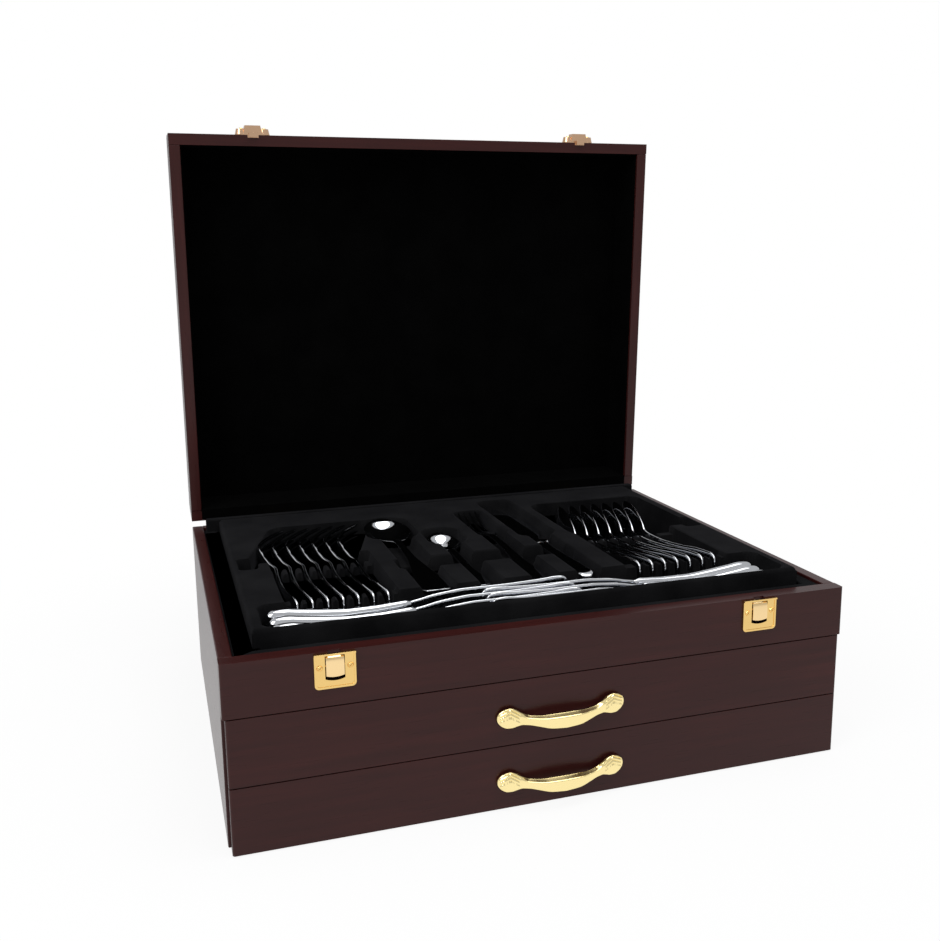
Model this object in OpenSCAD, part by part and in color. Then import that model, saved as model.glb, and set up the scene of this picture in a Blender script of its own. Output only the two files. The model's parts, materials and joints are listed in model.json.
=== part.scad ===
// Two-drawer silverware chest: a lacquered wooden box with a deep hinged lid,
// a flocked insert that carries a flatware service, two drawers with bow pulls,
// and a pair of sprung brass catches. Drawn with the lid standing open.
// X runs to the right, Y to the back, Z up; the table is at Z = 0.

/* [Chest body] */
// Width over the side panels
chest_w = 480; // [470:2:560]
// Depth from the faces of the front boards to the back face
chest_d = 368; // [366:2:440]
// Height of the base's rim above the table
rim_h = 139; // [138:1:160]
// Thickness of the side, back and lid boards
board_t = 10; // [9.5:0.5:11]
// Thickness of the three front boards
front_t = 12; // [11:0.5:13]
// Thickness of the floor under the flatware
floor_t = 4; // [3:0.5:5]
// Thickness of the panel between the drawers
divider_t = 5; // [4:0.5:6]
// Thickness of the bottom panel
bottom_t = 6; // [4:0.5:7]
// Thickness of the felt under the chest
felt_t = 1; // [0.8:0.1:1.5]
// How far the felt stays inside the outer faces
felt_inset = 4; // [2:1:10]
// Radius of the boards' standing edges
edge_r = 2; // [1:0.5:3]

/* [Lid] */
// Height of the lid, from its rim to its top
lid_h = 53; // [48:1:70]
// Thickness of the lid's top panel
lid_panel_t = 6; // [5:0.5:8]
// Thickness of the lining inside the lid
lining_t = 2; // [1.5:0.5:4]
// Thickness of the cloth on the lid's inner walls
wall_lining_t = 1.2; // [0.8:0.2:1.6]
// Bare wood left between that cloth and the lid's rim
lining_reveal = 3; // [1:0.5:6]
// Angle at which the lid stands open on its hinge stops
lid_open = 87; // [80:1:95]
// Gap between the two rims when the lid is shut
rim_gap = 0.4; // [0.3:0.1:0.8]

/* [Hinges] */
// Distance of each hinge's middle from the chest's side
hinge_from_side = 90; // [60:5:130]
// Length of a hinge
leaf_len = 45; // [40:1:60]
// Width of a leaf on the rim
leaf_w = 8.5; // [7:0.5:9]
// Thickness of a leaf
leaf_t = 1.2; // [1:0.1:1.5]
// Distance of the hinge line behind the back face
hinge_setback = 4; // [3.8:0.1:5]
// Radius of the hinge knuckles
knuckle_r = 3; // [2.6:0.1:3.2]
// Radius of the hinge pins
hinge_pin_r = 1.25; // [1:0.05:1.4]
// Length of the heels that stop the lid
heel_len = 9; // [6:0.5:14]
// Gap between neighbouring knuckles
knuckle_gap = 0.3; // [0.2:0.05:0.5]

/* [Catches] */
// Distance of each catch's middle from the chest's side
catch_from_side = 76; // [40:2:120]
// Width of a catch plate
plate_w = 28.5; // [27:0.5:34]
// Height of a catch plate
plate_h = 25; // [24:0.5:28]
// Thickness of the catch plates
plate_t = 1; // [0.8:0.1:1.2]
// Distance of a plate's top edge below the rim
plate_drop = 1; // [0.5:0.25:2]
// Width of the lever
lever_w = 12.5; // [11:0.5:12.5]
// Height of the lever
lever_h = 14.8; // [14:0.2:16]
// Height of the opening below the lever
lever_gap = 2.6; // [1:0.2:3]
// Depth of the lever's pivot behind the front face
pivot_depth = 3; // [2.8:0.1:3.4]
// Radius of the lever's pin
lever_pin_r = 1; // [0.8:0.05:1.1]
// Width of the hook on the lid
hook_w = 8; // [6:0.5:9]
// How far the hook reaches below the lid's rim
hook_drop = 2.8; // [2.2:0.2:3.4]
// Width of the hook's plate on the lid
strike_w = 32; // [30:1:38]
// Height of the hook's plate on the lid
strike_h = 12; // [11:0.5:16]
// How far the housing over the hook stands out
housing_out = 8.6; // [5:0.2:10]
// How far the screw bosses beside the housing stand out
boss_out = 5.6; // [2:0.2:7]

/* [Drawers] */
// Height of a drawer front
drawer_front_h = 48.6; // [48:0.2:50]
// Gap between one front board and the next
seam = 0.8; // [0.6:0.1:1.2]
// How far the drawer fronts stop short of the outer sides
reveal = 2; // [0.5:0.5:3]
// Thickness of a drawer's sides and back
drawer_board_t = 8; // [6:0.5:10]
// Height of a drawer box
drawer_box_h = 36; // [32:0.5:37]
// Length of a drawer box behind its front
drawer_box_d = 334; // [300:2:336]
// Thickness of a drawer's bottom
drawer_bottom_t = 4; // [3:0.5:5]
// Clearance at each side of a drawer
drawer_side_gap = 1; // [0.6:0.1:1.5]
// Height of the flocked insert in a drawer
drawer_insert_h = 22; // [18:1:24]
// Distance between the two posts of a handle
handle_span = 84; // [70:1:110]
// How far a handle sits below the middle of its front
handle_drop = 2.8; // [0:0.2:6]
// Radius of the round ends of a handle
lobe_r = 8.2; // [7:0.2:10]
// Height of the round ends of a handle
lobe_h = 5; // [4:0.5:7]
// How far the grip bows out
bow_out = 13; // [11:0.5:20]
// Angle at which the bow hangs down
bow_tilt = 19; // [10:1:30]
// Breadth of the grip
grip_w = 11; // [8:0.2:12]
// Thickness of the grip
grip_t = 4.4; // [3:0.2:6]

/* [Insert] */
// Thickness of the lined wall around the insert
liner_t = 12; // [10:0.5:13]
// How far the lined wall stays below the rim
liner_drop = 2; // [1:0.5:5]
// How far it stands above the rim at the back, to hide the hinges
liner_back_rise = 10.5; // [6:0.5:11]
// Room between that raised back and the shut lid's rails
liner_lid_gap = 2.5; // [2:0.25:4]
// Gap around the insert
insert_gap = 2.5; // [1.5:0.25:3]
// How far the insert stands above the rim
insert_rise = 11; // [9:0.5:14]
// Width of the finger holes that lift the insert out
finger_w = 15; // [13:0.5:15]
// Length of the finger holes
finger_l = 30; // [26:1:36]
// Distance of the finger holes from the insert's ends
finger_inset = 12.5; // [11:0.5:13]
// Depth of the finger holes
finger_depth = 26; // [18:1:34]
// Width of the knife trough
trough_w = 47; // [46:0.5:48]
// Thickness of the wall in front of the knife trough
trough_lip = 3.5; // [3:0.25:4.5]

/* [Flatware] */
// Number of forks, and of spoons, in a rack
rack_count = 7; // [4:1:7]
// Distance from one piece in a rack to the next
rack_pitch = 11.6; // [11:0.1:11.8]
// Length of a table fork
fork_l = 203; // [195:1:206]
// Width of a table fork over its tines
fork_w = 25; // [22:0.5:25.5]
// Length of a table spoon
spoon_l = 185; // [175:1:188]
// Width of a table spoon's bowl
spoon_w = 40; // [34:0.5:41]
// Length of a table knife
knife_l = 238; // [224:1:240]
// Length of a knife's handle
knife_handle_l = 110; // [100:1:114]
// Depth of a knife's blade, from its back to its edge
blade_w = 19; // [16:0.5:20]
// Thickness of a knife's blade
blade_t = 1.6; // [1.2:0.1:2]
// Thickness of the sheet that the forks and spoons are made of
flat_t = 2.2; // [1.8:0.1:2.6]
// Length of the serving spoon
serving_spoon_l = 212; // [200:1:214]
// Width of the serving spoon's bowl
serving_spoon_w = 42; // [38:0.5:43]
// Length of the sugar spoon
sugar_spoon_l = 148; // [140:1:152]
// Width of the sugar spoon's bowl
sugar_spoon_w = 30; // [24:0.5:32]
// Length of the serving fork
serving_fork_l = 210; // [200:1:212]
// Width of the serving fork
serving_fork_w = 24; // [21:0.5:25]
// Length of the pie server
pie_server_l = 244; // [230:1:246]
// Width of the pie server's blade
pie_server_w = 30; // [26:0.5:32]

/* [Hidden] */
$fn = 48;

wood = [0.32, 0.13, 0.11];
ply = [0.62, 0.47, 0.32];
flock = [0.09, 0.09, 0.10];
brass = [0.86, 0.68, 0.28];
steel = [0.80, 0.81, 0.83];

// Small distance by which cutting shapes pass through what they cut
over = 1;
// Gap that keeps a loose piece just clear of its seat
seat = 0.3;
// Radial clearance of a pin that turns
run_fit = 0.05;

// Faces and levels of the base
half_w = chest_w / 2;
front_y = -chest_d / 2;
back_y = chest_d / 2;
carcass_front_y = front_y + front_t;
inner_x = half_w - board_t;
inner_back_y = back_y - board_t;
lower_front_z = felt_t + 0.2;
upper_front_z = lower_front_z + drawer_front_h + seam;
board_bottom_z = upper_front_z + drawer_front_h + seam;
bottom_top_z = felt_t + bottom_t;
divider_top_z = upper_front_z - seam / 2 + divider_t / 2;
floor_bottom_z = board_bottom_z + 0.4;
floor_top_z = floor_bottom_z + floor_t;

// Hinge line
hinge_x = half_w - hinge_from_side;
hinge_y = back_y + hinge_setback;
hinge_z = rim_h + rim_gap / 2;
lid_rim_z = rim_h + rim_gap;
rim_cloth_t = rim_gap / 2;
knuckles = 5;
knuckle_len = leaf_len / knuckles;

// Catch levels, measured from the front face and the rim
catch_x = half_w - catch_from_side;
pivot_y = front_y + pivot_depth;
pivot_z = rim_h - 11;
lever_top_z = rim_h - hook_drop - 0.4;
lever_bottom_z = lever_top_z - lever_h;
window_w = lever_w + 1;
notch_w = hook_w + 1;
lever_round = 18;
fold_h = 1.3;
fold_out = 2.6;
hook_reach = 2;
flange_reach = 2.4;
flange_t = 1;
flange_w = hook_w + 2;
mortise_w = window_w + 3;
mortise_depth = 7.5;
ear_t = 1;

// Insert levels
insert_top_z = rim_h + insert_rise;
insert_bottom_z = floor_top_z + seat;
insert_x = inner_x - liner_t - insert_gap;
insert_front_y = carcass_front_y + liner_t + insert_gap;
insert_back_y = inner_back_y - liner_t - insert_gap;
trough_front_y = insert_front_y + trough_lip;
trough_back_y = trough_front_y + trough_w;
finger_x = insert_x - finger_inset;
// Racks: place of the first handle, and the line that the handle ends keep
rack_w = (rack_count - 1) * rack_pitch;
fork_x = -insert_x + 36.5;
fork_end_y = trough_back_y + 5;
fork_z = insert_top_z - 10.5;
spoon_x = insert_x - 47.5 - rack_w;
spoon_end_y = trough_back_y + 4;
spoon_z = insert_top_z - 10;
fork_handle_w = 19;
spoon_handle_w = 20;
neck_w = 6.5;

// Serving pieces: the line that each lies on
serving_spoon_x = -68;
sugar_spoon_x = -26;
serving_fork_x = 19;
pie_server_x = 57;
serving_end_y = trough_back_y + 3;
sugar_end_y = trough_back_y + 14;

// ---------------------------------------------------------------- helpers

// A point of a cubic Bezier curve p at t
function bezier(p, t) =
    p[0] * pow(1 - t, 3) + p[1] * 3 * t * pow(1 - t, 2)
    + p[2] * 3 * t * t * (1 - t) + p[3] * pow(t, 3);

// n + 1 points along a Bezier curve
function bezier_line(p, n) = [for (i = [0 : n]) bezier(p, i / n)];

// Unit normal of a polyline at its point i
function line_normal(line, i) =
    let (a = line[max(i - 1, 0)], b = line[min(i + 1, len(line) - 1)], d = b - a)
    [-d[1], d[0]] / norm(d);

// Outline of a strip of thickness t along a polyline
function strip(line, t) = concat(
    [for (i = [0 : len(line) - 1]) line[i] + line_normal(line, i) * t / 2],
    [for (i = [len(line) - 1 : -1 : 0]) line[i] - line_normal(line, i) * t / 2]
);

// Both halves of an outline, from rows of [place along Y, half width]
function both_sides(rows) = concat(
    [for (r = rows) [r[1], r[0]]],
    [for (i = [len(rows) - 1 : -1 : 0]) [-rows[i][1], rows[i][0]]]
);

// Half width of a pointed oval that runs from y0 to y1
function oval_rows(y0, y1, half, n) = [
    for (i = [1 : n]) let (a = 180 * i / (n + 1))
    [y0 + (y1 - y0) * (1 - cos(a)) / 2, half * pow(sin(a), 0.8)]
];

// A box with rounded standing edges, from its corner p with size s
module rounded_box(p, s, r) {
    translate([p[0], p[1], p[2]])
        linear_extrude(s[2]) {
            translate([r, 0]) square([s[0] - 2 * r, s[1]]);
            translate([0, r]) square([s[0], s[1] - 2 * r]);
            for (x = [r, s[0] - r], y = [r, s[1] - r])
                translate([x, y]) circle(r);
        }
}

// A pocket cut from the top of an insert: x and y ranges, depth and corner radius
module pocket(x0, x1, y0, y1, top_z, depth, r) {
    rounded_box([x0, y0, top_z - depth], [x1 - x0, y1 - y0, depth + over], r);
}

// Turns a part of the lid from its shut place to its open place
module opened() {
    translate([0, hinge_y, hinge_z])
        rotate([-lid_open, 0, 0])
            translate([0, -hinge_y, -hinge_z])
                children();
}

// ---------------------------------------------------------------- carcass

module side_panel(side) {
    color(wood)
        translate([side > 0 ? inner_x : -half_w, carcass_front_y, felt_t])
            cube([board_t, back_y - carcass_front_y, rim_h - felt_t]);
}

module back_panel() {
    color(wood)
        difference() {
            translate([-inner_x, inner_back_y, felt_t])
                cube([2 * inner_x, board_t, rim_h - felt_t]);
            for (side = [-1, 1]) leaf_recess(side, rim_h - leaf_t);
            for (side = [-1, 1]) hinge_screw_holes(side, rim_h - leaf_t, -1);
        }
}

module upper_front_board() {
    color(wood)
        difference() {
            rounded_box([-half_w, front_y, board_bottom_z],
                [chest_w, front_t, rim_h - board_bottom_z], edge_r);
            for (side = [-1, 1]) {
                translate([side * catch_x - mortise_w / 2, front_y - over, lever_bottom_z - lever_gap - 0.8])
                    cube([mortise_w, mortise_depth + over, lever_h + lever_gap + 1.6]);
                translate([side * catch_x - notch_w / 2, front_y - over, lever_top_z])
                    cube([notch_w, hook_reach + 0.6 + over, 20]);
                for (s = [-1, 1])
                    translate([side * catch_x + s * catch_screw_x(), front_y - over, pivot_z])
                        rotate([-90, 0, 0]) cylinder(h = 8 + over, r = catch_screw_r);
            }
        }
}

module compartment_floor() {
    color(ply)
        translate([-inner_x, carcass_front_y, floor_bottom_z])
            cube([2 * inner_x, inner_back_y - carcass_front_y, floor_t]);
}

module drawer_divider() {
    color(ply)
        translate([-inner_x, carcass_front_y, divider_top_z - divider_t])
            cube([2 * inner_x, inner_back_y - carcass_front_y, divider_t]);
}

module bottom_panel() {
    color(ply)
        translate([-inner_x, carcass_front_y, felt_t])
            cube([2 * inner_x, inner_back_y - carcass_front_y, bottom_t]);
}

module base_felt() {
    color(flock)
        translate([-half_w + felt_inset, carcass_front_y + felt_inset, 0])
            cube([chest_w - 2 * felt_inset, back_y - carcass_front_y - 2 * felt_inset, felt_t]);
}

module compartment_liner() {
    liner_h = rim_h - liner_drop - floor_top_z;
    color(flock)
        difference() {
            translate([-inner_x, carcass_front_y, floor_top_z])
                cube([2 * inner_x, inner_back_y - carcass_front_y, liner_h]);
            translate([-inner_x + liner_t, carcass_front_y + liner_t, floor_top_z - over])
                cube([2 * (inner_x - liner_t),
                    inner_back_y - carcass_front_y - 2 * liner_t, liner_h + 2 * over]);
        }
    // Raised back
    color(flock)
        translate([-inner_x + liner_lid_gap, inner_back_y - liner_t, rim_h - liner_drop - over])
            cube([2 * (inner_x - liner_lid_gap), liner_t - liner_lid_gap,
                liner_drop + liner_back_rise + over]);
}

// ---------------------------------------------------------------- flatware insert

// Comb across a rack: a wall with a slot for each piece
module comb(x0, x1, y0, y1, bottom_z, top_z, slot_bottom_z, first_x, slot_w) {
    difference() {
        translate([x0, y0, bottom_z]) cube([x1 - x0, y1 - y0, top_z - bottom_z]);
        for (i = [0 : rack_count - 1])
            translate([first_x + i * rack_pitch - slot_w / 2, y0 - over, slot_bottom_z])
                cube([slot_w, y1 - y0 + 2 * over, top_z - slot_bottom_z + over]);
    }
}

fork_floor_z = fork_z - fork_w / 2 - seat;
fork_neck_y = fork_end_y + 108;
fork_back_y = fork_end_y + fork_l + 6;
spoon_floor_z = spoon_z - spoon_w / 2 - seat;
spoon_neck_y = spoon_end_y + 100;
spoon_back_y = spoon_end_y + spoon_l + 30;
rack_comb_w = 12;

// Outline of the pocket for the fork heads, which lean to the right
module fork_head_outline() {
    polygon([
        [fork_x - 12, fork_neck_y - 4],
        [fork_x - 20, fork_neck_y + 40],
        [fork_x - 18, fork_neck_y + 76],
        [fork_x + 10, fork_back_y + 8],
        [fork_x + rack_w + 24, fork_back_y],
        [fork_x + rack_w + 22, fork_back_y - 22],
        [fork_x + rack_w + 2, fork_neck_y + 44],
        [fork_x + rack_w + 7, fork_neck_y - 4]
    ]);
}

module fork_rack_pocket() {
    translate([0, 0, fork_floor_z])
        linear_extrude(insert_top_z - fork_floor_z + over) fork_head_outline();
    pocket(fork_x - 7, fork_x + rack_w + 8, trough_back_y - 4, fork_neck_y - 3,
        insert_top_z, insert_top_z - fork_floor_z, 3);
}

module fork_rack_combs() {
    comb(fork_x - 7.1, fork_x + rack_w + 8.1, fork_neck_y - 26, fork_neck_y - 10, fork_floor_z - 0.1,
        insert_top_z - 6, fork_z - neck_w / 2 - seat - 1, fork_x - 1.2, 6);
    comb(fork_x - 7.1, fork_x + rack_w + 8.1, trough_back_y, trough_back_y + rack_comb_w,
        fork_floor_z - 0.1, insert_top_z - 3, fork_z - fork_handle_w / 2 - seat, fork_x + 1.4, 6);
}

module spoon_rack_pocket() {
    pocket(spoon_x - 12, spoon_x + rack_w + 36, spoon_neck_y - 4, spoon_back_y,
        insert_top_z, insert_top_z - spoon_floor_z, 12);
    pocket(spoon_x - 9, spoon_x + rack_w + 13, trough_back_y - 4, spoon_neck_y + 12,
        insert_top_z, insert_top_z - spoon_floor_z, 3);
}

module spoon_rack_combs() {
    comb(spoon_x - 9.1, spoon_x + rack_w + 13.1, spoon_neck_y - 16, spoon_neck_y - 5, spoon_floor_z - 0.1,
        insert_top_z - 6, spoon_z - neck_w / 2 - seat - 1, spoon_x - 4.6, 6);
    comb(spoon_x - 9.1, spoon_x + rack_w + 13.1, trough_back_y, trough_back_y + rack_comb_w,
        spoon_floor_z - 0.1, insert_top_z - 3, spoon_z - spoon_handle_w / 2 - seat, spoon_x + 4.8, 6.5);
}

// Depth of each serving piece's seat below the top of the insert
serving_spoon_seat = 8;
sugar_spoon_seat = 12;
serving_fork_seat = 10;
pie_server_seat = 12;
bowl_sink = 10;

// Pocket of one serving piece: a hollow for its head and a groove for its handle
module serving_pocket(x, end_y, length, head_w, head_l, groove_w, depth, head_sink, r) {
    pocket(x - head_w / 2, x + head_w / 2, end_y + length - head_l, end_y + length + 3,
        insert_top_z, depth + head_sink, r);
    pocket(x - groove_w / 2, x + groove_w / 2, trough_back_y - 4, end_y + length - head_l + r + 2,
        insert_top_z, depth, 3);
}

module serving_pockets() {
    serving_pocket(serving_spoon_x, serving_end_y, serving_spoon_l, serving_spoon_w + 4, 76, 28,
        serving_spoon_seat, bowl_sink, 20);
    serving_pocket(sugar_spoon_x, sugar_end_y, sugar_spoon_l, sugar_spoon_w + 3, 52, 18,
        sugar_spoon_seat, bowl_sink, 14);
    serving_pocket(serving_fork_x, serving_end_y, serving_fork_l, serving_fork_w + 3, 86, 22,
        serving_fork_seat, 5, 5);
    serving_pocket(pie_server_x, serving_end_y, pie_server_l, pie_server_w + 4, 136, 20,
        pie_server_seat, 0, 10);
}

// Trench across the serving pockets, for the fingers
trench_x0 = serving_spoon_x - 18;
trench_x1 = pie_server_x + 10;
trench_y0 = trough_back_y + 52;
trench_l = 27;
trench_depth = 20;

// Knives on edge: three with their handles at the left, three at the right
knife_left_y = [for (d = [7, 23, 37.5]) trough_back_y - d];
knife_right_y = [for (d = [17, 29, 41]) trough_back_y - d];
knife_left_x = -insert_x + 12;
knife_right_x = insert_x - 18;
knife_handle_h = 20;
knife_handle_t = 10;
knife_top_z = insert_top_z - 2;
trough_floor_z = knife_top_z - knife_handle_h - seat;
knife_comb_t = 6;
knife_comb_h = 12;

module knife_comb(x, slots_y) {
    difference() {
        translate([x - knife_comb_t / 2, trough_front_y - 0.1, trough_floor_z - 0.1])
            cube([knife_comb_t, trough_w + 0.2, knife_comb_h + 0.1]);
        for (y = slots_y)
            translate([x - knife_comb_t / 2 - over, y - blade_t / 2 - 0.5, trough_floor_z])
                cube([knife_comb_t + 2 * over, blade_t + 1, knife_comb_h + over]);
    }
}

module insert_tray() {
    color(flock) {
        difference() {
            rounded_box([-insert_x, insert_front_y, insert_bottom_z],
                [2 * insert_x, insert_back_y - insert_front_y, insert_top_z - insert_bottom_z], 3);
            pocket(-insert_x + 9, insert_x - 9, trough_front_y, trough_back_y,
                insert_top_z, insert_top_z - trough_floor_z, 8);
            for (side = [-1, 1])
                pocket(side * finger_x - finger_w / 2, side * finger_x + finger_w / 2,
                    -finger_l / 2, finger_l / 2, insert_top_z, finger_depth, 3);
            fork_rack_pocket();
            spoon_rack_pocket();
            serving_pockets();
            pocket(trench_x0, trench_x1, trench_y0, trench_y0 + trench_l,
                insert_top_z, trench_depth, 4);
        }
        fork_rack_combs();
        spoon_rack_combs();
        knife_comb(knife_left_x + knife_handle_l + 25, knife_left_y);
        knife_comb(knife_right_x - knife_handle_l - 25, knife_right_y);
    }
}

// ---------------------------------------------------------------- flatware

// A piece pressed from sheet: it lies along Y, its profile line runs in Y and Z,
// and its outline gives its width
module pressed(line, t, outline, width) {
    intersection() {
        rotate([90, 0, 90])
            linear_extrude(width + 2 * over, center = true) polygon(strip(line, t));
        translate([0, 0, -60]) linear_extrude(120) polygon(outline);
    }
}

// Slots between the tines of a fork that ends at y1
module tine_slots(tines, width, slot_w, y0, y1) {
    step = width / tines;
    for (i = [1 : tines - 1])
        translate([-width / 2 + i * step - slot_w / 2, y0, -60]) {
            cube([slot_w, y1 - y0 + over, 120]);
            translate([slot_w / 2, 0, 0]) cylinder(h = 120, r = slot_w / 2, $fn = 24);
        }
}

// Half widths of a handle that ends at y = 0 and narrows to a neck at y = neck_y
function handle_rows(handle_w, neck_y) = [
    [0, handle_w * 0.22], [2, handle_w * 0.4], [7, handle_w / 2], [20, handle_w / 2 - 0.4],
    [neck_y * 0.45, handle_w * 0.32], [neck_y * 0.75, neck_w / 2 + 0.6], [neck_y, neck_w / 2]
];

// Side view of a fork: its handle bows, its head drops and its tines rise again
fork_line = concat(
    bezier_line([[0, 3], [14, -3], [60, -4], [106, -1]], 9),
    [for (k = [1 : 6]) bezier([[106, -1], [120, -1], [fork_l - 75, -11], [fork_l - 60, -11]], k / 6)],
    [for (k = [1 : 7])
        bezier([[fork_l - 60, -11], [fork_l - 39, -11], [fork_l - 17, 2], [fork_l, 18]], k / 7)]
);
// Side view of a spoon
spoon_line = concat(
    bezier_line([[0, 6], [22, 2], [70, -8], [104, -5]], 9),
    [for (k = [1 : 10]) bezier([[104, -5], [130, -3.5], [158, -8], [spoon_l, 6]], k / 10)]
);

module table_fork() {
    rows = concat(handle_rows(fork_handle_w, 100),
        [[118, neck_w / 2 + 0.2], [128, fork_w * 0.3], [138, fork_w / 2], [fork_l - 14, fork_w / 2 - 0.5],
            [fork_l + 4, fork_w / 2 - 2]]);
    difference() {
        pressed(fork_line, flat_t, both_sides(rows), fork_w);
        tine_slots(4, fork_w, 2.6, fork_l - 50, fork_l + 4);
    }
}

module table_spoon() {
    rows = concat(handle_rows(spoon_handle_w, 105),
        oval_rows(112, spoon_l + 3, spoon_w / 2, 10));
    pressed(spoon_line, flat_t, both_sides(rows), spoon_w);
}

module on_edge(x, y, z) {
    translate([x, y, z]) rotate([0, 90, 0]) children();
}

module table_forks() {
    color(steel)
        for (i = [0 : rack_count - 1])
            on_edge(fork_x + i * rack_pitch, fork_end_y, fork_z) table_fork();
}

module table_spoons() {
    color(steel)
        for (i = [0 : rack_count - 1])
            on_edge(spoon_x + i * rack_pitch, spoon_end_y, spoon_z) table_spoon();
}

// Side view of a knife's handle: upper line and lower line, as shares of its
// length and height. The back dips in the middle of the handle.
knife_handle_top = [[0, 0.56], [0.007, 0.3], [0.03, 0.12], [0.07, 0.02], [0.13, 0], [0.22, 0.06],
    [0.42, 0.19], [0.58, 0.26], [0.73, 0.26], [0.89, 0.22], [1, 0.21]];
knife_handle_bottom = [[1, 0.83], [0.76, 0.88], [0.46, 0.97], [0.22, 1], [0.09, 0.98],
    [0.03, 0.87], [0.007, 0.73]];
// Half the handle's thickness, as shares of its length and thickness
knife_handle_plan = [[0, 0.15], [0.02, 0.34], [0.08, 0.5], [0.4, 0.46], [0.8, 0.36], [1, 0.26]];
// Side view of a blade, as shares of its length and depth
knife_blade_top = [[-0.02, 0.3], [0.06, 0.21], [0.13, 0.11], [0.23, 0.03], [0.33, -0.02],
    [0.55, -0.01], [0.8, -0.05], [0.92, -0.1], [0.98, -0.04], [1, 0.16]];
knife_blade_bottom = [[0.985, 0.5], [0.93, 0.8], [0.85, 0.95], [0.7, 1], [0.25, 1], [0.06, 0.9],
    [-0.02, 0.76]];

// Side-view points p, from shares to a part of length l and height h that starts at x
function side_view(p, x, l, h) = [for (q = p) [x + q[0] * l, -q[1] * h]];

// A knife on its edge, handle end at the origin, blade along +X, its back at z = 0
module table_knife() {
    // Handle: side view and top view of one solid
    intersection() {
        translate([0, knife_handle_t, 0]) rotate([90, 0, 0])
            linear_extrude(2 * knife_handle_t)
                polygon(side_view(concat(knife_handle_top, knife_handle_bottom),
                    0, knife_handle_l, knife_handle_h));
        translate([0, 0, -knife_handle_h - over])
            linear_extrude(knife_handle_h + 2 * over)
                polygon(concat(
                    [for (p = knife_handle_plan) [p[0] * knife_handle_l, p[1] * knife_handle_t]],
                    [for (i = [len(knife_handle_plan) - 1 : -1 : 0])
                        [knife_handle_plan[i][0] * knife_handle_l, -knife_handle_plan[i][1] * knife_handle_t]]));
    }
    translate([0, blade_t / 2, 0]) rotate([90, 0, 0])
        linear_extrude(blade_t)
            polygon(side_view(concat(knife_blade_top, knife_blade_bottom),
                knife_handle_l, knife_l - knife_handle_l, blade_w));
}

module table_knives() {
    color(steel) {
        for (y = knife_left_y)
            translate([knife_left_x, y, knife_top_z]) table_knife();
        for (y = knife_right_y)
            translate([knife_right_x, y, knife_top_z]) rotate([0, 0, 180]) table_knife();
    }
}

// The piece's lowest point stays just above its seat
module serving_spoon() {
    z = insert_top_z - serving_spoon_seat + flat_t / 2 + seat;
    l = serving_spoon_l;
    line = concat(
        bezier_line([[0, 2], [40, 0], [80, 3], [l - 78, 4]], 10),
        [for (p = bezier_line([[l - 78, 4], [l - 52, 4], [l - 56, -bowl_sink - 2], [l - 26, -bowl_sink + 0.5]], 8))
            if (p[0] > l - 77) p],
        [for (p = bezier_line([[l - 26, -bowl_sink + 0.5], [l - 10, -bowl_sink + 1], [l - 4, -2], [l, 4]], 6))
            if (p[0] > l - 25) p]
    );
    rows = concat(handle_rows(24, l - 90),
        oval_rows(l - 74, l + 1, serving_spoon_w / 2, 10));
    color(steel)
        translate([serving_spoon_x, serving_end_y, z])
            pressed(line, flat_t, both_sides(rows), serving_spoon_w);
}

module sugar_spoon() {
    z = insert_top_z - sugar_spoon_seat + flat_t / 2 + seat;
    l = sugar_spoon_l;
    line = concat(
        bezier_line([[0, 1], [25, 0], [50, 3], [l - 50, 4]], 8),
        [for (p = bezier_line([[l - 50, 4], [l - 36, 4], [l - 38, -bowl_sink - 2], [l - 18, -bowl_sink + 0.5]], 8))
            if (p[0] > l - 49) p],
        [for (p = bezier_line([[l - 18, -bowl_sink + 0.5], [l - 7, -bowl_sink + 1], [l - 3, -2], [l, 3]], 6))
            if (p[0] > l - 17) p]
    );
    rows = concat(handle_rows(14, l - 60),
        oval_rows(l - 50, l + 1, sugar_spoon_w / 2, 10));
    color(steel)
        translate([sugar_spoon_x, sugar_end_y, z])
            pressed(line, flat_t, both_sides(rows), sugar_spoon_w);
}

module serving_fork() {
    z = insert_top_z - serving_fork_seat + flat_t / 2 + seat;
    l = serving_fork_l;
    line = concat(
        bezier_line([[0, 0.1], [40, -1], [80, 5], [l - 82, 5]], 10),
        [for (p = bezier_line([[l - 82, 5], [l - 55, 5], [l - 40, -12], [l, 5]], 12))
            if (p[0] > l - 81) p]
    );
    rows = concat(handle_rows(19, l - 92),
        [[l - 76, neck_w / 2 + 0.4], [l - 66, serving_fork_w * 0.34], [l - 56, serving_fork_w / 2],
            [l - 16, serving_fork_w / 2 - 0.5], [l + 4, serving_fork_w / 2 - 2]]);
    color(steel)
        translate([serving_fork_x, serving_end_y, z])
            difference() {
                pressed(line, flat_t, both_sides(rows), serving_fork_w);
                tine_slots(4, serving_fork_w, 3.2, l - 46, l + 4);
            }
}

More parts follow.
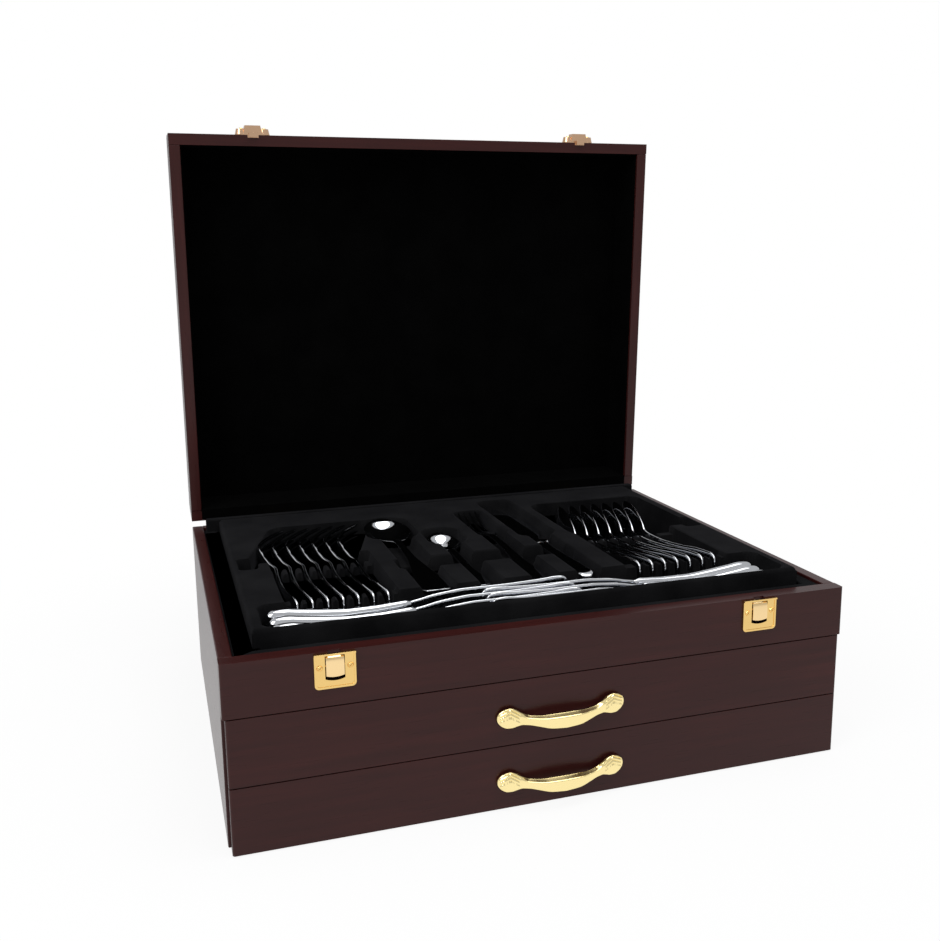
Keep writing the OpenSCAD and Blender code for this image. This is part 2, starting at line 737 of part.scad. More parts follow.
module pie_server() {
    handle_t = 8;
    handle_l = 108;
    z = insert_top_z - pie_server_seat + seat;
    blade_y = pie_server_l - handle_l;
    color(steel)
        translate([pie_server_x, serving_end_y, z]) {
            // Hollow handle: top view and side view of one solid
            intersection() {
                linear_extrude(handle_t)
                    polygon(both_sides([[0, 3], [2, 6], [8, 8], [30, 7.6], [80, 5.4],
                        [handle_l - 4, 5.8], [handle_l, 4.6]]));
                rotate([90, 0, 90])
                    linear_extrude(20, center = true)
                        polygon([[0, 2], [3, 0.4], [10, 0], [60, 0.6], [handle_l, 1.4],
                            [handle_l, 6.4], [60, 7.4], [10, handle_t], [3, 7.4], [0, 6]]);
            }
            // Blade: a leaf that widens and comes to a round point
            translate([0, handle_l - 2, 2])
                linear_extrude(1.8)
                    polygon(both_sides([[0, 4], [14, 4.4], [26, 9], [48, pie_server_w / 2],
                        [76, pie_server_w / 2 - 0.8], [blade_y - 22, pie_server_w * 0.3],
                        [blade_y - 4, 3], [blade_y + 1, 1]]));
        }
}

// ---------------------------------------------------------------- hinges

hinge_screw_r = 1.2;
hinge_screw_head_r = 2.2;
hinge_screw_l = 9;
function hinge_screw_xs() = [-leaf_len / 2 + 6, 0, leaf_len / 2 - 6];

module leaf_recess(side, bottom_z) {
    translate([side * hinge_x - leaf_len / 2 - 0.1, back_y - leaf_w - 0.1, bottom_z])
        cube([leaf_len + 0.2, leaf_w + 0.1 + over, leaf_t + over]);
}

// Pilot holes below (dir = -1) or above (dir = 1) a leaf
module hinge_screw_holes(side, z, dir) {
    for (x = hinge_screw_xs())
        translate([side * hinge_x + x, back_y - leaf_w / 2, z])
            mirror([0, 0, dir > 0 ? 1 : 0])
                translate([0, 0, -hinge_screw_l]) cylinder(h = hinge_screw_l + over, r = hinge_screw_r);
}

// A flat leaf with its own knuckles: numbers in own are the knuckles that it carries
module hinge_leaf(own, plate_z) {
    difference() {
        union() {
            translate([-leaf_len / 2, back_y - leaf_w, plate_z])
                cube([leaf_len, leaf_w, leaf_t]);
            for (k = own) {
                x0 = -leaf_len / 2 + k * knuckle_len + knuckle_gap / 2;
                w = knuckle_len - knuckle_gap;
                translate([x0, back_y - over, plate_z]) cube([w, hinge_setback + over, leaf_t]);
                translate([x0, hinge_y, hinge_z]) rotate([0, 90, 0]) cylinder(h = w, r = knuckle_r);
            }
        }
        translate([-leaf_len / 2 - over, hinge_y, hinge_z])
            rotate([0, 90, 0]) cylinder(h = leaf_len + 2 * over, r = hinge_pin_r + run_fit);
    }
}

// Countersinks of a leaf: the heads lie at face_z and point in direction dir
module leaf_countersinks(face_z, dir) {
    for (x = hinge_screw_xs())
        translate([x, back_y - leaf_w / 2, face_z])
            mirror([0, 0, dir > 0 ? 1 : 0]) {
                translate([0, 0, -leaf_t - over]) cylinder(h = leaf_t + 2 * over, r = hinge_screw_r);
                translate([0, 0, -(hinge_screw_head_r - hinge_screw_r)])
                    cylinder(h = hinge_screw_head_r - hinge_screw_r + 0.02,
                        r1 = hinge_screw_r, r2 = hinge_screw_head_r + 0.02);
            }
}

module hinge_base_leaf(side) {
    color(brass)
        translate([side * hinge_x, 0, 0])
            difference() {
                hinge_leaf([0, 2, 4], rim_h - leaf_t);
                leaf_countersinks(rim_h, -1);
            }
}

module hinge_lid_leaf(side) {
    color(brass)
        translate([side * hinge_x, 0, 0]) {
            opened()
                difference() {
                    hinge_leaf([1, 3], lid_rim_z);
                    leaf_countersinks(lid_rim_z, 1);
                }
            // Heels that come to rest on the back panel and hold the lid open
            for (k = [1, 3])
                difference() {
                    translate([-leaf_len / 2 + k * knuckle_len + knuckle_gap / 2, back_y + 0.1,
                            hinge_z - heel_len])
                        cube([knuckle_len - knuckle_gap, 2.5, heel_len]);
                    translate([-leaf_len / 2 - over, hinge_y, hinge_z])
                        rotate([0, 90, 0]) cylinder(h = leaf_len + 2 * over, r = hinge_pin_r + run_fit);
                }
        }
}

module hinge_pin(side) {
    color(brass)
        translate([side * hinge_x - leaf_len / 2 - 1, hinge_y, hinge_z])
            rotate([0, 90, 0]) {
                cylinder(h = leaf_len + 2, r = hinge_pin_r);
                for (z = [0, leaf_len + 1.2]) translate([0, 0, z]) cylinder(h = 0.8, r = knuckle_r - 0.6);
            }
}

module leaf_screws(face_z, dir) {
    for (side = [-1, 1], x = hinge_screw_xs())
        translate([side * hinge_x + x, back_y - leaf_w / 2, face_z])
            mirror([0, 0, dir > 0 ? 1 : 0]) {
                translate([0, 0, -(hinge_screw_head_r - hinge_screw_r)])
                    cylinder(h = hinge_screw_head_r - hinge_screw_r, r1 = hinge_screw_r, r2 = hinge_screw_head_r);
                translate([0, 0, -hinge_screw_l])
                    cylinder(h = hinge_screw_l - (hinge_screw_head_r - hinge_screw_r), r = hinge_screw_r);
            }
}

module hinge_base_screws() {
    color(brass) leaf_screws(rim_h, -1);
}

module hinge_lid_screws() {
    color(brass) opened() leaf_screws(lid_rim_z, 1);
}

// ---------------------------------------------------------------- lid

rail_h = lid_h - lid_panel_t;

module lid_front_rail() {
    color(wood)
        opened()
            difference() {
                translate([-half_w, front_y, lid_rim_z]) cube([chest_w, board_t, rail_h]);
                for (side = [-1, 1])
                    translate([side * catch_x - flange_w / 2, front_y - over, lid_rim_z - over])
                        cube([flange_w, flange_reach + over, flange_t + over]);
                for (side = [-1, 1], s = [-1, 1])
                    translate([side * catch_x + s * strike_screw_x(), front_y - over, strike_screw_z])
                        rotate([-90, 0, 0]) cylinder(h = 7 + over, r = catch_screw_r);
            }
}

module lid_back_rail() {
    color(wood)
        opened()
            difference() {
                translate([-half_w, back_y - board_t, lid_rim_z]) cube([chest_w, board_t, rail_h]);
                for (side = [-1, 1]) {
                    translate([0, 0, leaf_t])
                        mirror([0, 0, 1]) translate([0, 0, -2 * lid_rim_z]) leaf_recess(side, lid_rim_z);
                    hinge_screw_holes(side, lid_rim_z + leaf_t, 1);
                }
            }
}

module lid_side_rail(side) {
    color(wood)
        opened()
            translate([side > 0 ? inner_x : -half_w, front_y + board_t, lid_rim_z])
                cube([board_t, chest_d - 2 * board_t, rail_h]);
}

module lid_top_panel() {
    color(wood)
        opened()
            rounded_box([-half_w, front_y, lid_rim_z + rail_h], [chest_w, chest_d, lid_panel_t], edge_r);
}

// Cloth on the panel and the four inner walls; at the back it also wraps over the rim
module lid_lining() {
    wall_front_y = front_y + board_t;
    wall_back_y = back_y - board_t;
    wall_z = lid_rim_z + lining_reveal;
    wall_h = rail_h - lining_reveal;
    color(flock)
        opened() {
            translate([-inner_x, wall_front_y, lid_rim_z + rail_h - lining_t])
                cube([2 * inner_x, wall_back_y - wall_front_y, lining_t]);
            for (side = [-1, 1])
                translate([side > 0 ? inner_x - wall_lining_t : -inner_x, wall_front_y, wall_z])
                    cube([wall_lining_t, wall_back_y - wall_front_y, wall_h]);
            translate([-inner_x, wall_front_y, wall_z]) cube([2 * inner_x, wall_lining_t, wall_h]);
            translate([-inner_x, wall_back_y - wall_lining_t, lid_rim_z - rim_cloth_t])
                cube([2 * inner_x, wall_lining_t, rail_h + rim_cloth_t]);
            translate([-inner_x, wall_back_y - over, lid_rim_z - rim_cloth_t])
                cube([2 * inner_x, board_t - 1 + over, rim_cloth_t]);
        }
}

// ---------------------------------------------------------------- catches

catch_screw_r = 1.2;
catch_screw_head_r = 2.1;
catch_screw_l = 8;
function catch_screw_x() = (plate_w + window_w) / 4;
function strike_screw_x() = strike_w / 2 - strike_h / 2 + 0.5;
strike_screw_z = lid_rim_z + strike_h / 2 + 0.5;
hook_root = 2;

module catch_plate(side) {
    plate_top_z = rim_h - plate_drop;
    color(brass)
        translate([side * catch_x, 0, 0])
            difference() {
                union() {
                    // Face plate with rounded lower corners and a raised border
                    translate([0, front_y, 0]) rotate([90, 0, 0])
                        linear_extrude(plate_t) plate_outline(plate_w, plate_top_z, plate_h, 3);
                    translate([0, front_y - plate_t, 0]) rotate([90, 0, 0])
                        linear_extrude(0.5)
                            difference() {
                                plate_outline(plate_w, plate_top_z, plate_h, 3);
                                plate_outline(plate_w - 3, plate_top_z + over, plate_h + over - 1.5, 2);
                            }
                    // Top edge folded out into a narrow rim that the hook passes behind
                    translate([-plate_w / 2, front_y - fold_out, plate_top_z - fold_h])
                        cube([plate_w, fold_out, fold_h]);
                    // Ears that hold the lever's pin
                    for (s = [-1, 1])
                        translate([s * (window_w / 2 + ear_t / 2) - ear_t / 2, front_y - plate_t / 2, pivot_z - 2.6])
                            cube([ear_t, pivot_depth + plate_t / 2 + 2.4, 5.2]);
                }
                intersection() {
                    translate([-window_w / 2, front_y - 3, lever_bottom_z - lever_gap])
                        cube([window_w, 10, lever_h + lever_gap + 0.3]);
                    translate([0, front_y, lever_bottom_z - lever_gap + lever_round]) rotate([90, 0, 0])
                        cylinder(h = 30, r = lever_round, center = true);
                }
                translate([-notch_w / 2, front_y - fold_out + 0.5, lever_top_z - over])
                    cube([notch_w, 10, 20]);
                translate([-window_w, pivot_y, pivot_z]) rotate([0, 90, 0])
                    cylinder(h = 2 * window_w, r = lever_pin_r + run_fit);
                for (s = [-1, 1])
                    translate([s * catch_screw_x(), front_y + over, pivot_z]) rotate([90, 0, 0])
                        cylinder(h = plate_t + 2 * over, r = catch_screw_r);
            }
}

// A plate's outline, square at the top and rounded below; its middle is x = 0
module plate_outline(w, top_z, h, r) {
    translate([-w / 2, top_z - h + r]) square([w, h - r]);
    translate([-w / 2 + r, top_z - h]) square([w - 2 * r, h]);
    for (s = [-1, 1]) translate([s * (w / 2 - r), top_z - h + r]) circle(r);
}

// Lever: a thumb plate on two barrels that turn on the pin
module catch_lever(side) {
    barrel_r = lever_pin_r + run_fit + 1.1;
    spring_room = 5;
    up = lever_top_z - pivot_z;
    down = pivot_z - lever_bottom_z;
    color(brass)
        translate([side * catch_x, pivot_y, pivot_z])
            difference() {
                union() {
                    // Thumb plate, seen from the side: a rolled top and a slightly full face
                    intersection() {
                        translate([-lever_w / 2, 0, 0]) rotate([90, 0, 90])
                            linear_extrude(lever_w)
                                polygon(concat(
                                    [[-pivot_depth + 0.4, up - 0.2], [-pivot_depth - 0.6, up - 0.6],
                                        [-pivot_depth - plate_t, up - 1.1],
                                        [-pivot_depth - plate_t - 0.5, up - 1.8]],
                                    bezier_line([[-pivot_depth - plate_t - 0.7, up - 2.4],
                                        [-pivot_depth - plate_t - 1.2, 1],
                                        [-pivot_depth - plate_t - 1.5, -down + 2.5],
                                        [-pivot_depth - plate_t - 0.6, -down]], 8),
                                    [[-pivot_depth - plate_t + 0.8, -down], [-pivot_depth - 0.2, -down + 1],
                                        [-pivot_depth + 0.4, -1]]));
                        // Rounds the lower edge, seen from the front
                        translate([0, 0, lever_round - down]) rotate([90, 0, 0])
                            cylinder(h = 30, r = lever_round, center = true);
                    }
                    // Barrels and the web that joins them to the plate
                    rotate([0, 90, 0]) cylinder(h = lever_w, r = barrel_r, center = true);
                    translate([-lever_w / 2, -pivot_depth, -barrel_r * 0.6])
                        cube([lever_w, pivot_depth, barrel_r * 1.2]);
                }
                translate([-spring_room / 2, -pivot_depth + 0.4, -10]) cube([spring_room, 10, 20]);
                rotate([0, 90, 0])
                    cylinder(h = lever_w + 2, r = lever_pin_r + run_fit, center = true);
            }
}

module catch_pins() {
    color(brass)
        for (side = [-1, 1])
            translate([side * catch_x, pivot_y, pivot_z]) rotate([0, 90, 0])
                cylinder(h = window_w + 2 * ear_t + 0.4, r = lever_pin_r, center = true);
}

// Torsion spring on the pin: a helix swept as rings of points
spring_wire = 0.5;
spring_r = lever_pin_r + 0.55;
spring_turns = 5;
spring_pitch = 0.72;
ring_sides = 6;
turn_steps = 12;

function spring_point(k) =
    let (a = 360 * k / turn_steps)
    [(k / turn_steps - spring_turns / 2) * spring_pitch, spring_r * cos(a), spring_r * sin(a)];

function spring_ring(k) =
    let (a = 360 * k / turn_steps, c = spring_point(k))
    [for (j = [0 : ring_sides - 1]) let (b = 360 * j / ring_sides)
        c + spring_wire / 2 * [sin(b), cos(b) * cos(a), cos(b) * sin(a)]];

module torsion_spring() {
    last = spring_turns * turn_steps;
    points = [for (k = [0 : last]) each spring_ring(k)];
    sides = [for (k = [0 : last - 1], j = [0 : ring_sides - 1]) each let (
            a = k * ring_sides + j, b = k * ring_sides + (j + 1) % ring_sides)
        [[a, b, b + ring_sides], [a, b + ring_sides, a + ring_sides]]];
    start_cap = [for (j = [1 : ring_sides - 2]) [0, j + 1, j]];
    end_cap = [for (j = [1 : ring_sides - 2])
        [last * ring_sides, last * ring_sides + j, last * ring_sides + j + 1]];
    polyhedron(points, concat(sides, start_cap, end_cap));
}

module catch_springs() {
    color(steel)
        for (side = [-1, 1])
            translate([side * catch_x, pivot_y, pivot_z]) torsion_spring();
}

// Low-headed screw with a cross recess
module face_screw(length) {
    rotate([90, 0, 0])
        difference() {
            union() {
                cylinder(h = 0.8, r1 = catch_screw_head_r, r2 = catch_screw_head_r - 0.5);
                translate([0, 0, -length]) cylinder(h = length, r = catch_screw_r);
            }
            for (a = [45, 135])
                rotate([0, 0, a]) translate([-1.2, -0.3, 0.1]) cube([2.4, 0.6, 2]);
        }
}

module catch_plate_screws() {
    color(brass)
        for (side = [-1, 1], s = [-1, 1])
            translate([side * catch_x + s * catch_screw_x(), front_y - plate_t, pivot_z])
                face_screw(catch_screw_l);
}

module strike_plate(side) {
    color(brass)
        opened()
            translate([side * catch_x, 0, 0])
                difference() {
                    union() {
                        translate([0, front_y, 0]) rotate([90, 0, 0])
                            linear_extrude(plate_t) strike_outline();
                        // Raised housing over the hook's root, narrower towards its top
                        translate([0, 0, strike_screw_z - strike_h / 2 + 1])
                            linear_extrude(strike_h - 2) housing_outline();
                        // Bosses that the screws go through
                        for (s = [-1, 1])
                            translate([s * strike_screw_x(), front_y, strike_screw_z]) rotate([90, 0, 0])
                                cylinder(h = boss_out, r1 = strike_h / 2 - 0.5, r2 = strike_h / 2 - 1.7);
                        // Flange folded over the lid's rim
                        translate([-flange_w / 2, front_y - plate_t, lid_rim_z])
                            cube([flange_w, plate_t + flange_reach, flange_t]);
                        translate([-flange_w / 2, front_y - plate_t, lid_rim_z])
                            cube([flange_w, plate_t, flange_t + 2]);
                        // Hook that drops into the slot behind the catch plate's folded rim
                        translate([-hook_w / 2, front_y - 1.3, lid_rim_z - hook_drop])
                            cube([hook_w, 1.3 + hook_reach, hook_drop + flange_t / 2]);
                        translate([-hook_w / 2, front_y - 1.3, lid_rim_z])
                            cube([hook_w, 1.3, hook_root]);
                        translate([-hook_w / 2, front_y - 1.8, lid_rim_z - hook_drop])
                            cube([hook_w, 1, 0.9]);
                    }
                    for (s = [-1, 1])
                        translate([s * strike_screw_x(), front_y + over, strike_screw_z]) rotate([90, 0, 0])
                            cylinder(h = boss_out + 2 * over, r = catch_screw_r);
                }
}

// The housing seen from the rim: wide on the lid, narrow at its top
module housing_outline() {
    polygon([[-hook_w / 2 - 5, front_y], [hook_w / 2 + 5, front_y],
        [hook_w / 2 + 3, front_y - housing_out], [-hook_w / 2 - 3, front_y - housing_out]]);
}

// Two round lobes joined by a bar
module strike_outline() {
    r = (strike_h - 1) / 2;
    for (s = [-1, 1]) translate([s * (strike_w / 2 - r), strike_screw_z]) circle(r);
    translate([-strike_w / 2 + r, strike_screw_z - r]) square([strike_w - 2 * r, 2 * r]);
}

module strike_screws() {
    color(brass)
        opened()
            for (side = [-1, 1], s = [-1, 1])
                translate([side * catch_x + s * strike_screw_x(), front_y - boss_out, strike_screw_z])
                    face_screw(boss_out + 6);
}

// ---------------------------------------------------------------- drawers

drawer_x = inner_x - drawer_side_gap;
drawer_back_y = carcass_front_y + drawer_box_d;
handle_screw_r = 2;
handle_screw_head_r = 4;
handle_screw_bite = 3.5;
function front_z(upper) = upper ? upper_front_z : lower_front_z;
function box_z(upper) = (upper ? divider_top_z : bottom_top_z) + seat;
function handle_z(upper) = front_z(upper) + drawer_front_h / 2 - handle_drop;

module drawer_front(upper) {
    color(wood)
        difference() {
            rounded_box([-half_w + reveal, front_y, front_z(upper)],
                [chest_w - 2 * reveal, front_t, drawer_front_h], edge_r);
            for (s = [-1, 1])
                translate([s * handle_span / 2, front_y - over, handle_z(upper)])
                    rotate([-90, 0, 0]) cylinder(h = front_t + 2 * over, r = handle_screw_r + 0.2);
        }
}

module drawer_side(upper, side) {
    color(ply)
        translate([side > 0 ? drawer_x - drawer_board_t : -drawer_x, carcass_front_y, box_z(upper)])
            cube([drawer_board_t, drawer_box_d, drawer_box_h]);
}

module drawer_back(upper) {
    color(ply)
        translate([-drawer_x + drawer_board_t, drawer_back_y - drawer_board_t, box_z(upper)])
            cube([2 * (drawer_x - drawer_board_t), drawer_board_t, drawer_box_h]);
}

module drawer_bottom(upper) {
    color(ply)
        translate([-drawer_x + drawer_board_t, carcass_front_y, box_z(upper) + 2])
            cube([2 * (drawer_x - drawer_board_t), drawer_box_d - drawer_board_t, drawer_bottom_t]);
}

// Flocked insert of a drawer: a knife trough along the front and a row of pockets behind
module drawer_insert(upper) {
    gap = 1;
    x = drawer_x - drawer_board_t - gap;
    y0 = carcass_front_y + 6;
    y1 = drawer_back_y - drawer_board_t - gap;
    bottom_z = box_z(upper) + 2 + drawer_bottom_t;
    top_z = bottom_z + drawer_insert_h;
    columns = upper ? 5 : 4;
    wall = 8;
    pitch = (2 * x - wall) / columns;
    depth = drawer_insert_h - 4;
    row_y = upper ? y0 + wall + 62 : y0 + wall;
    color(flock)
        difference() {
            rounded_box([-x, y0, bottom_z], [2 * x, y1 - y0, drawer_insert_h], 3);
            if (upper)
                pocket(-x + wall, x - wall, y0 + wall, y0 + wall + 54, top_z, depth, 10);
            for (i = [0 : columns - 1])
                pocket(-x + wall + i * pitch, -x + (i + 1) * pitch, row_y, y1 - wall, top_z, depth, 12);
        }
}

// Bow handle: two domes on the front and an arched grip between them
module bow_handle(upper) {
    dome_r = (lobe_r * lobe_r + lobe_h * lobe_h) / (2 * lobe_h);
    root = 2.6;
    bow_r = (pow(handle_span / 2, 2) + bow_out * bow_out) / (2 * bow_out);
    half_angle = asin(handle_span / 2 / bow_r);
    color(brass)
        translate([0, front_y, handle_z(upper)])
            difference() {
                union() {
                    for (s = [-1, 1])
                        intersection() {
                            translate([s * handle_span / 2, dome_r - lobe_h, 0]) sphere(dome_r);
                            translate([s * handle_span / 2 - 2 * lobe_r, -2 * lobe_r, -2 * lobe_r])
                                cube([4 * lobe_r, 2 * lobe_r, 4 * lobe_r]);
                        }
                    translate([0, -root, 0]) rotate([bow_tilt, 0, 0])
                        translate([0, bow_r - bow_out, 0])
                            rotate([0, 0, 270 - half_angle])
                                rotate_extrude(angle = 2 * half_angle)
                                    translate([bow_r, 0]) grip_section();
                }
                // Blind holes for the screws, and a flat back
                for (s = [-1, 1])
                    translate([s * handle_span / 2, -handle_screw_bite, 0])
                        rotate([-90, 0, 0]) cylinder(h = 10, r = handle_screw_r);
                translate([-handle_span, 0, -20]) cube([2 * handle_span, 20, 40]);
            }
}

// Cross-section of the grip: a bar with round edges
module grip_section() {
    r = grip_t / 2;
    translate([-r, -grip_w / 2 + r]) square([grip_t, grip_w - grip_t]);
    for (s = [-1, 1]) translate([0, s * (grip_w / 2 - r)]) circle(r);
}

module handle_screws(upper) {
    color(brass)
        for (s = [-1, 1])
            translate([s * handle_span / 2, carcass_front_y, handle_z(upper)])
                rotate([-90, 0, 0]) {
                    cylinder(h = 2, r = handle_screw_head_r);
                    translate([0, 0, -front_t - handle_screw_bite])
                        cylinder(h = front_t + handle_screw_bite, r = handle_screw_r);
                }
}

// ---------------------------------------------------------------- assembly

side_panel(-1);  // side_panel_left
side_panel(1);  // side_panel_right
back_panel();
upper_front_board();
compartment_floor();
drawer_divider();
bottom_panel();
base_felt();
compartment_liner();
insert_tray();
table_forks();
table_spoons();
table_knives();
serving_spoon();
sugar_spoon();
serving_fork();
pie_server();
hinge_base_leaf(-1);  // hinge_base_leaf_left
hinge_base_leaf(1);  // hinge_base_leaf_right
hinge_pin(-1);  // hinge_pin_left
hinge_pin(1);  // hinge_pin_right
hinge_base_screws();
catch_plate(-1);  // catch_plate_left
catch_plate(1);  // catch_plate_right
catch_pins();
catch_springs();
catch_plate_screws();
catch_lever(-1);  // catch_lever_left
catch_lever(1);  // catch_lever_right
lid_front_rail();
lid_back_rail();
lid_side_rail(-1);  // lid_left_rail
lid_side_rail(1);  // lid_right_rail
lid_top_panel();
lid_lining();
hinge_lid_leaf(-1);  // hinge_lid_leaf_left
hinge_lid_leaf(1);  // hinge_lid_leaf_right
hinge_lid_screws();
strike_plate(-1);  // strike_plate_left
strike_plate(1);  // strike_plate_right
strike_screws();
drawer_front(true);  // upper_drawer_front
drawer_side(true, -1);  // upper_drawer_left_side
drawer_side(true, 1);  // upper_drawer_right_side
drawer_back(true);  // upper_drawer_back
drawer_bottom(true);  // upper_drawer_bottom
drawer_insert(true);  // upper_drawer_insert
bow_handle(true);  // upper_handle
handle_screws(true);  // upper_handle_screws
drawer_front(false);  // lower_drawer_front
drawer_side(false, -1);  // lower_drawer_left_side
drawer_side(false, 1);  // lower_drawer_right_side
drawer_back(false);  // lower_drawer_back
drawer_bottom(false);  // lower_drawer_bottom
drawer_insert(false);  // lower_drawer_insert
bow_handle(false);  // lower_handle
handle_screws(false);  // lower_handle_screws
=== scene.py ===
# %% [markdown]
# # A silverware chest
# The chest is a lacquered wooden case with a deep hinged lid, two drawers, brass
# fittings and a flocked insert full of polished flatware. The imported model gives
# every piece its exact place; this notebook gives it finish and fine form.
# Everything is in metres, with X to the right, Y to the back and Z up.

# %% Load the frame
import json
import math

import bmesh
import bpy
import numpy as np
from mathutils import Matrix, Vector

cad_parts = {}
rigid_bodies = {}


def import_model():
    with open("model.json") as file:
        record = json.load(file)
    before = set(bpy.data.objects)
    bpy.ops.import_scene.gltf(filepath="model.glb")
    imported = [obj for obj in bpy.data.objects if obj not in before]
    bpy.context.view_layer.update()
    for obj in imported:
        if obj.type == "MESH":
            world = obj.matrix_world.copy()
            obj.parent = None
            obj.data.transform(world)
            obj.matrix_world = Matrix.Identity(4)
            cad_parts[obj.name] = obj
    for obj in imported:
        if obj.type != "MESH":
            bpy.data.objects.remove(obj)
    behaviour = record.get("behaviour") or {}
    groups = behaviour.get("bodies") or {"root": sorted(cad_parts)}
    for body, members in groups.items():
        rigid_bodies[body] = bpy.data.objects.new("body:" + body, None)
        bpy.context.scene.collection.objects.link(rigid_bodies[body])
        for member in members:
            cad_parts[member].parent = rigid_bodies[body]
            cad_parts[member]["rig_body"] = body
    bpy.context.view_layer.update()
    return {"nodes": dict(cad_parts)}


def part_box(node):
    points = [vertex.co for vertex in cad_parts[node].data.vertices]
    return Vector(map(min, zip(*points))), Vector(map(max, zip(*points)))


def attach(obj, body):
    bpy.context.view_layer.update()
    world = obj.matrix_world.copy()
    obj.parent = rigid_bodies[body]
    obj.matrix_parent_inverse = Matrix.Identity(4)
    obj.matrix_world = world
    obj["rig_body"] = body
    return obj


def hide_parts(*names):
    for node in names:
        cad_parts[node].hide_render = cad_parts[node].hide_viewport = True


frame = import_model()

MM = 0.001
scene = bpy.context.scene
scene.view_settings.view_transform = "Standard"

# %% [markdown]
# ## The camera
# The photograph was taken from the left and a little above. Its focal length and
# place come from the chest's own corners: a box of known proportions fixes both.

# %% Camera
PHOTO_W, PHOTO_H = 940, 941
FOCAL_PX = 1023
LENS_AXIS_PX = (472.8, 450.4)
CAMERA_AT = Vector((-269.1, -832.3, 398.5)) * MM
AZIMUTH, ELEVATION, ROLL = (math.radians(a) for a in (17.48, 10.77, -0.63))

camera = bpy.data.objects.new("camera", bpy.data.cameras.new("camera"))
scene.collection.objects.link(camera)
scene.camera = camera
long_side = max(PHOTO_W, PHOTO_H)
camera.data.sensor_width = 36
camera.data.lens = FOCAL_PX * camera.data.sensor_width / long_side
camera.data.shift_x = (PHOTO_W / 2 - LENS_AXIS_PX[0]) / long_side
camera.data.shift_y = (LENS_AXIS_PX[1] - PHOTO_H / 2) / long_side
camera.data.clip_start, camera.data.clip_end = 0.01, 50

forward = Vector((math.sin(AZIMUTH) * math.cos(ELEVATION),
                  math.cos(AZIMUTH) * math.cos(ELEVATION), -math.sin(ELEVATION)))
level = Vector((math.cos(AZIMUTH), -math.sin(AZIMUTH), 0))
upright = level.cross(forward)
right = math.cos(ROLL) * level + math.sin(ROLL) * upright
up = math.cos(ROLL) * upright - math.sin(ROLL) * level
camera.matrix_world = Matrix.Translation(CAMERA_AT) @ Matrix((right, up, -forward)).transposed().to_4x4()
print("lens", round(camera.data.lens, 2), "mm")

# %% [markdown]
# ## Building shaders
# Two small functions carry every material: one turns a written sRGB colour into the
# linear numbers that the shader works in, and one adds a node with its settings and
# links.

# %% Colour and node helpers
def linear(hex_colour):
    channels = [int(hex_colour[i:i + 2], 16) / 255 for i in (1, 3, 5)]
    return [c / 12.92 if c <= 0.04045 else ((c + 0.055) / 1.055) ** 2.4 for c in channels] + [1.0]


def add(tree, kind, links=None, sockets=None, **settings):
    """Adds a node; links feed its inputs from other nodes' outputs, sockets sets constants."""
    node = tree.nodes.new(kind)
    for name, value in settings.items():
        setattr(node, name, value)
    for name, value in (sockets or {}).items():
        node.inputs[name].default_value = value
    for name, (source, output) in (links or {}).items():
        tree.links.new(source.outputs[output], node.inputs[name])
    return node


def new_material(name, **constants):
    """A material with one Principled shader whose constants are set on its own sockets."""
    material = bpy.data.materials.new(name)
    material.use_nodes = True
    shader = material.node_tree.nodes["Principled BSDF"]
    for socket, value in constants.items():
        shader.inputs[socket.replace("_", " ")].default_value = value
    return material, material.node_tree, shader


def ramp(tree, source, output, stops):
    """A colour ramp over one value; stops are (place, linear colour)."""
    node = add(tree, "ShaderNodeValToRGB", {"Fac": (source, output)})
    while len(node.color_ramp.elements) < len(stops):
        node.color_ramp.elements.new(0.5)
    for element, (place, colour) in zip(node.color_ramp.elements, stops):
        element.position = place
        element.color = colour
    return node


# %% [markdown]
# ## Lacquered wood
# The case is mahogany-stained hardwood under a satin nitrocellulose lacquer. The stain
# is nearly opaque, so the eye sees a dark red-brown with faint long streaks and a soft
# gloss. The streaks run along each board, so the material exists once per direction.

# %% Lacquered wood
STREAK_LENGTH = 90 * MM
STREAK_WIDTH = 5 * MM


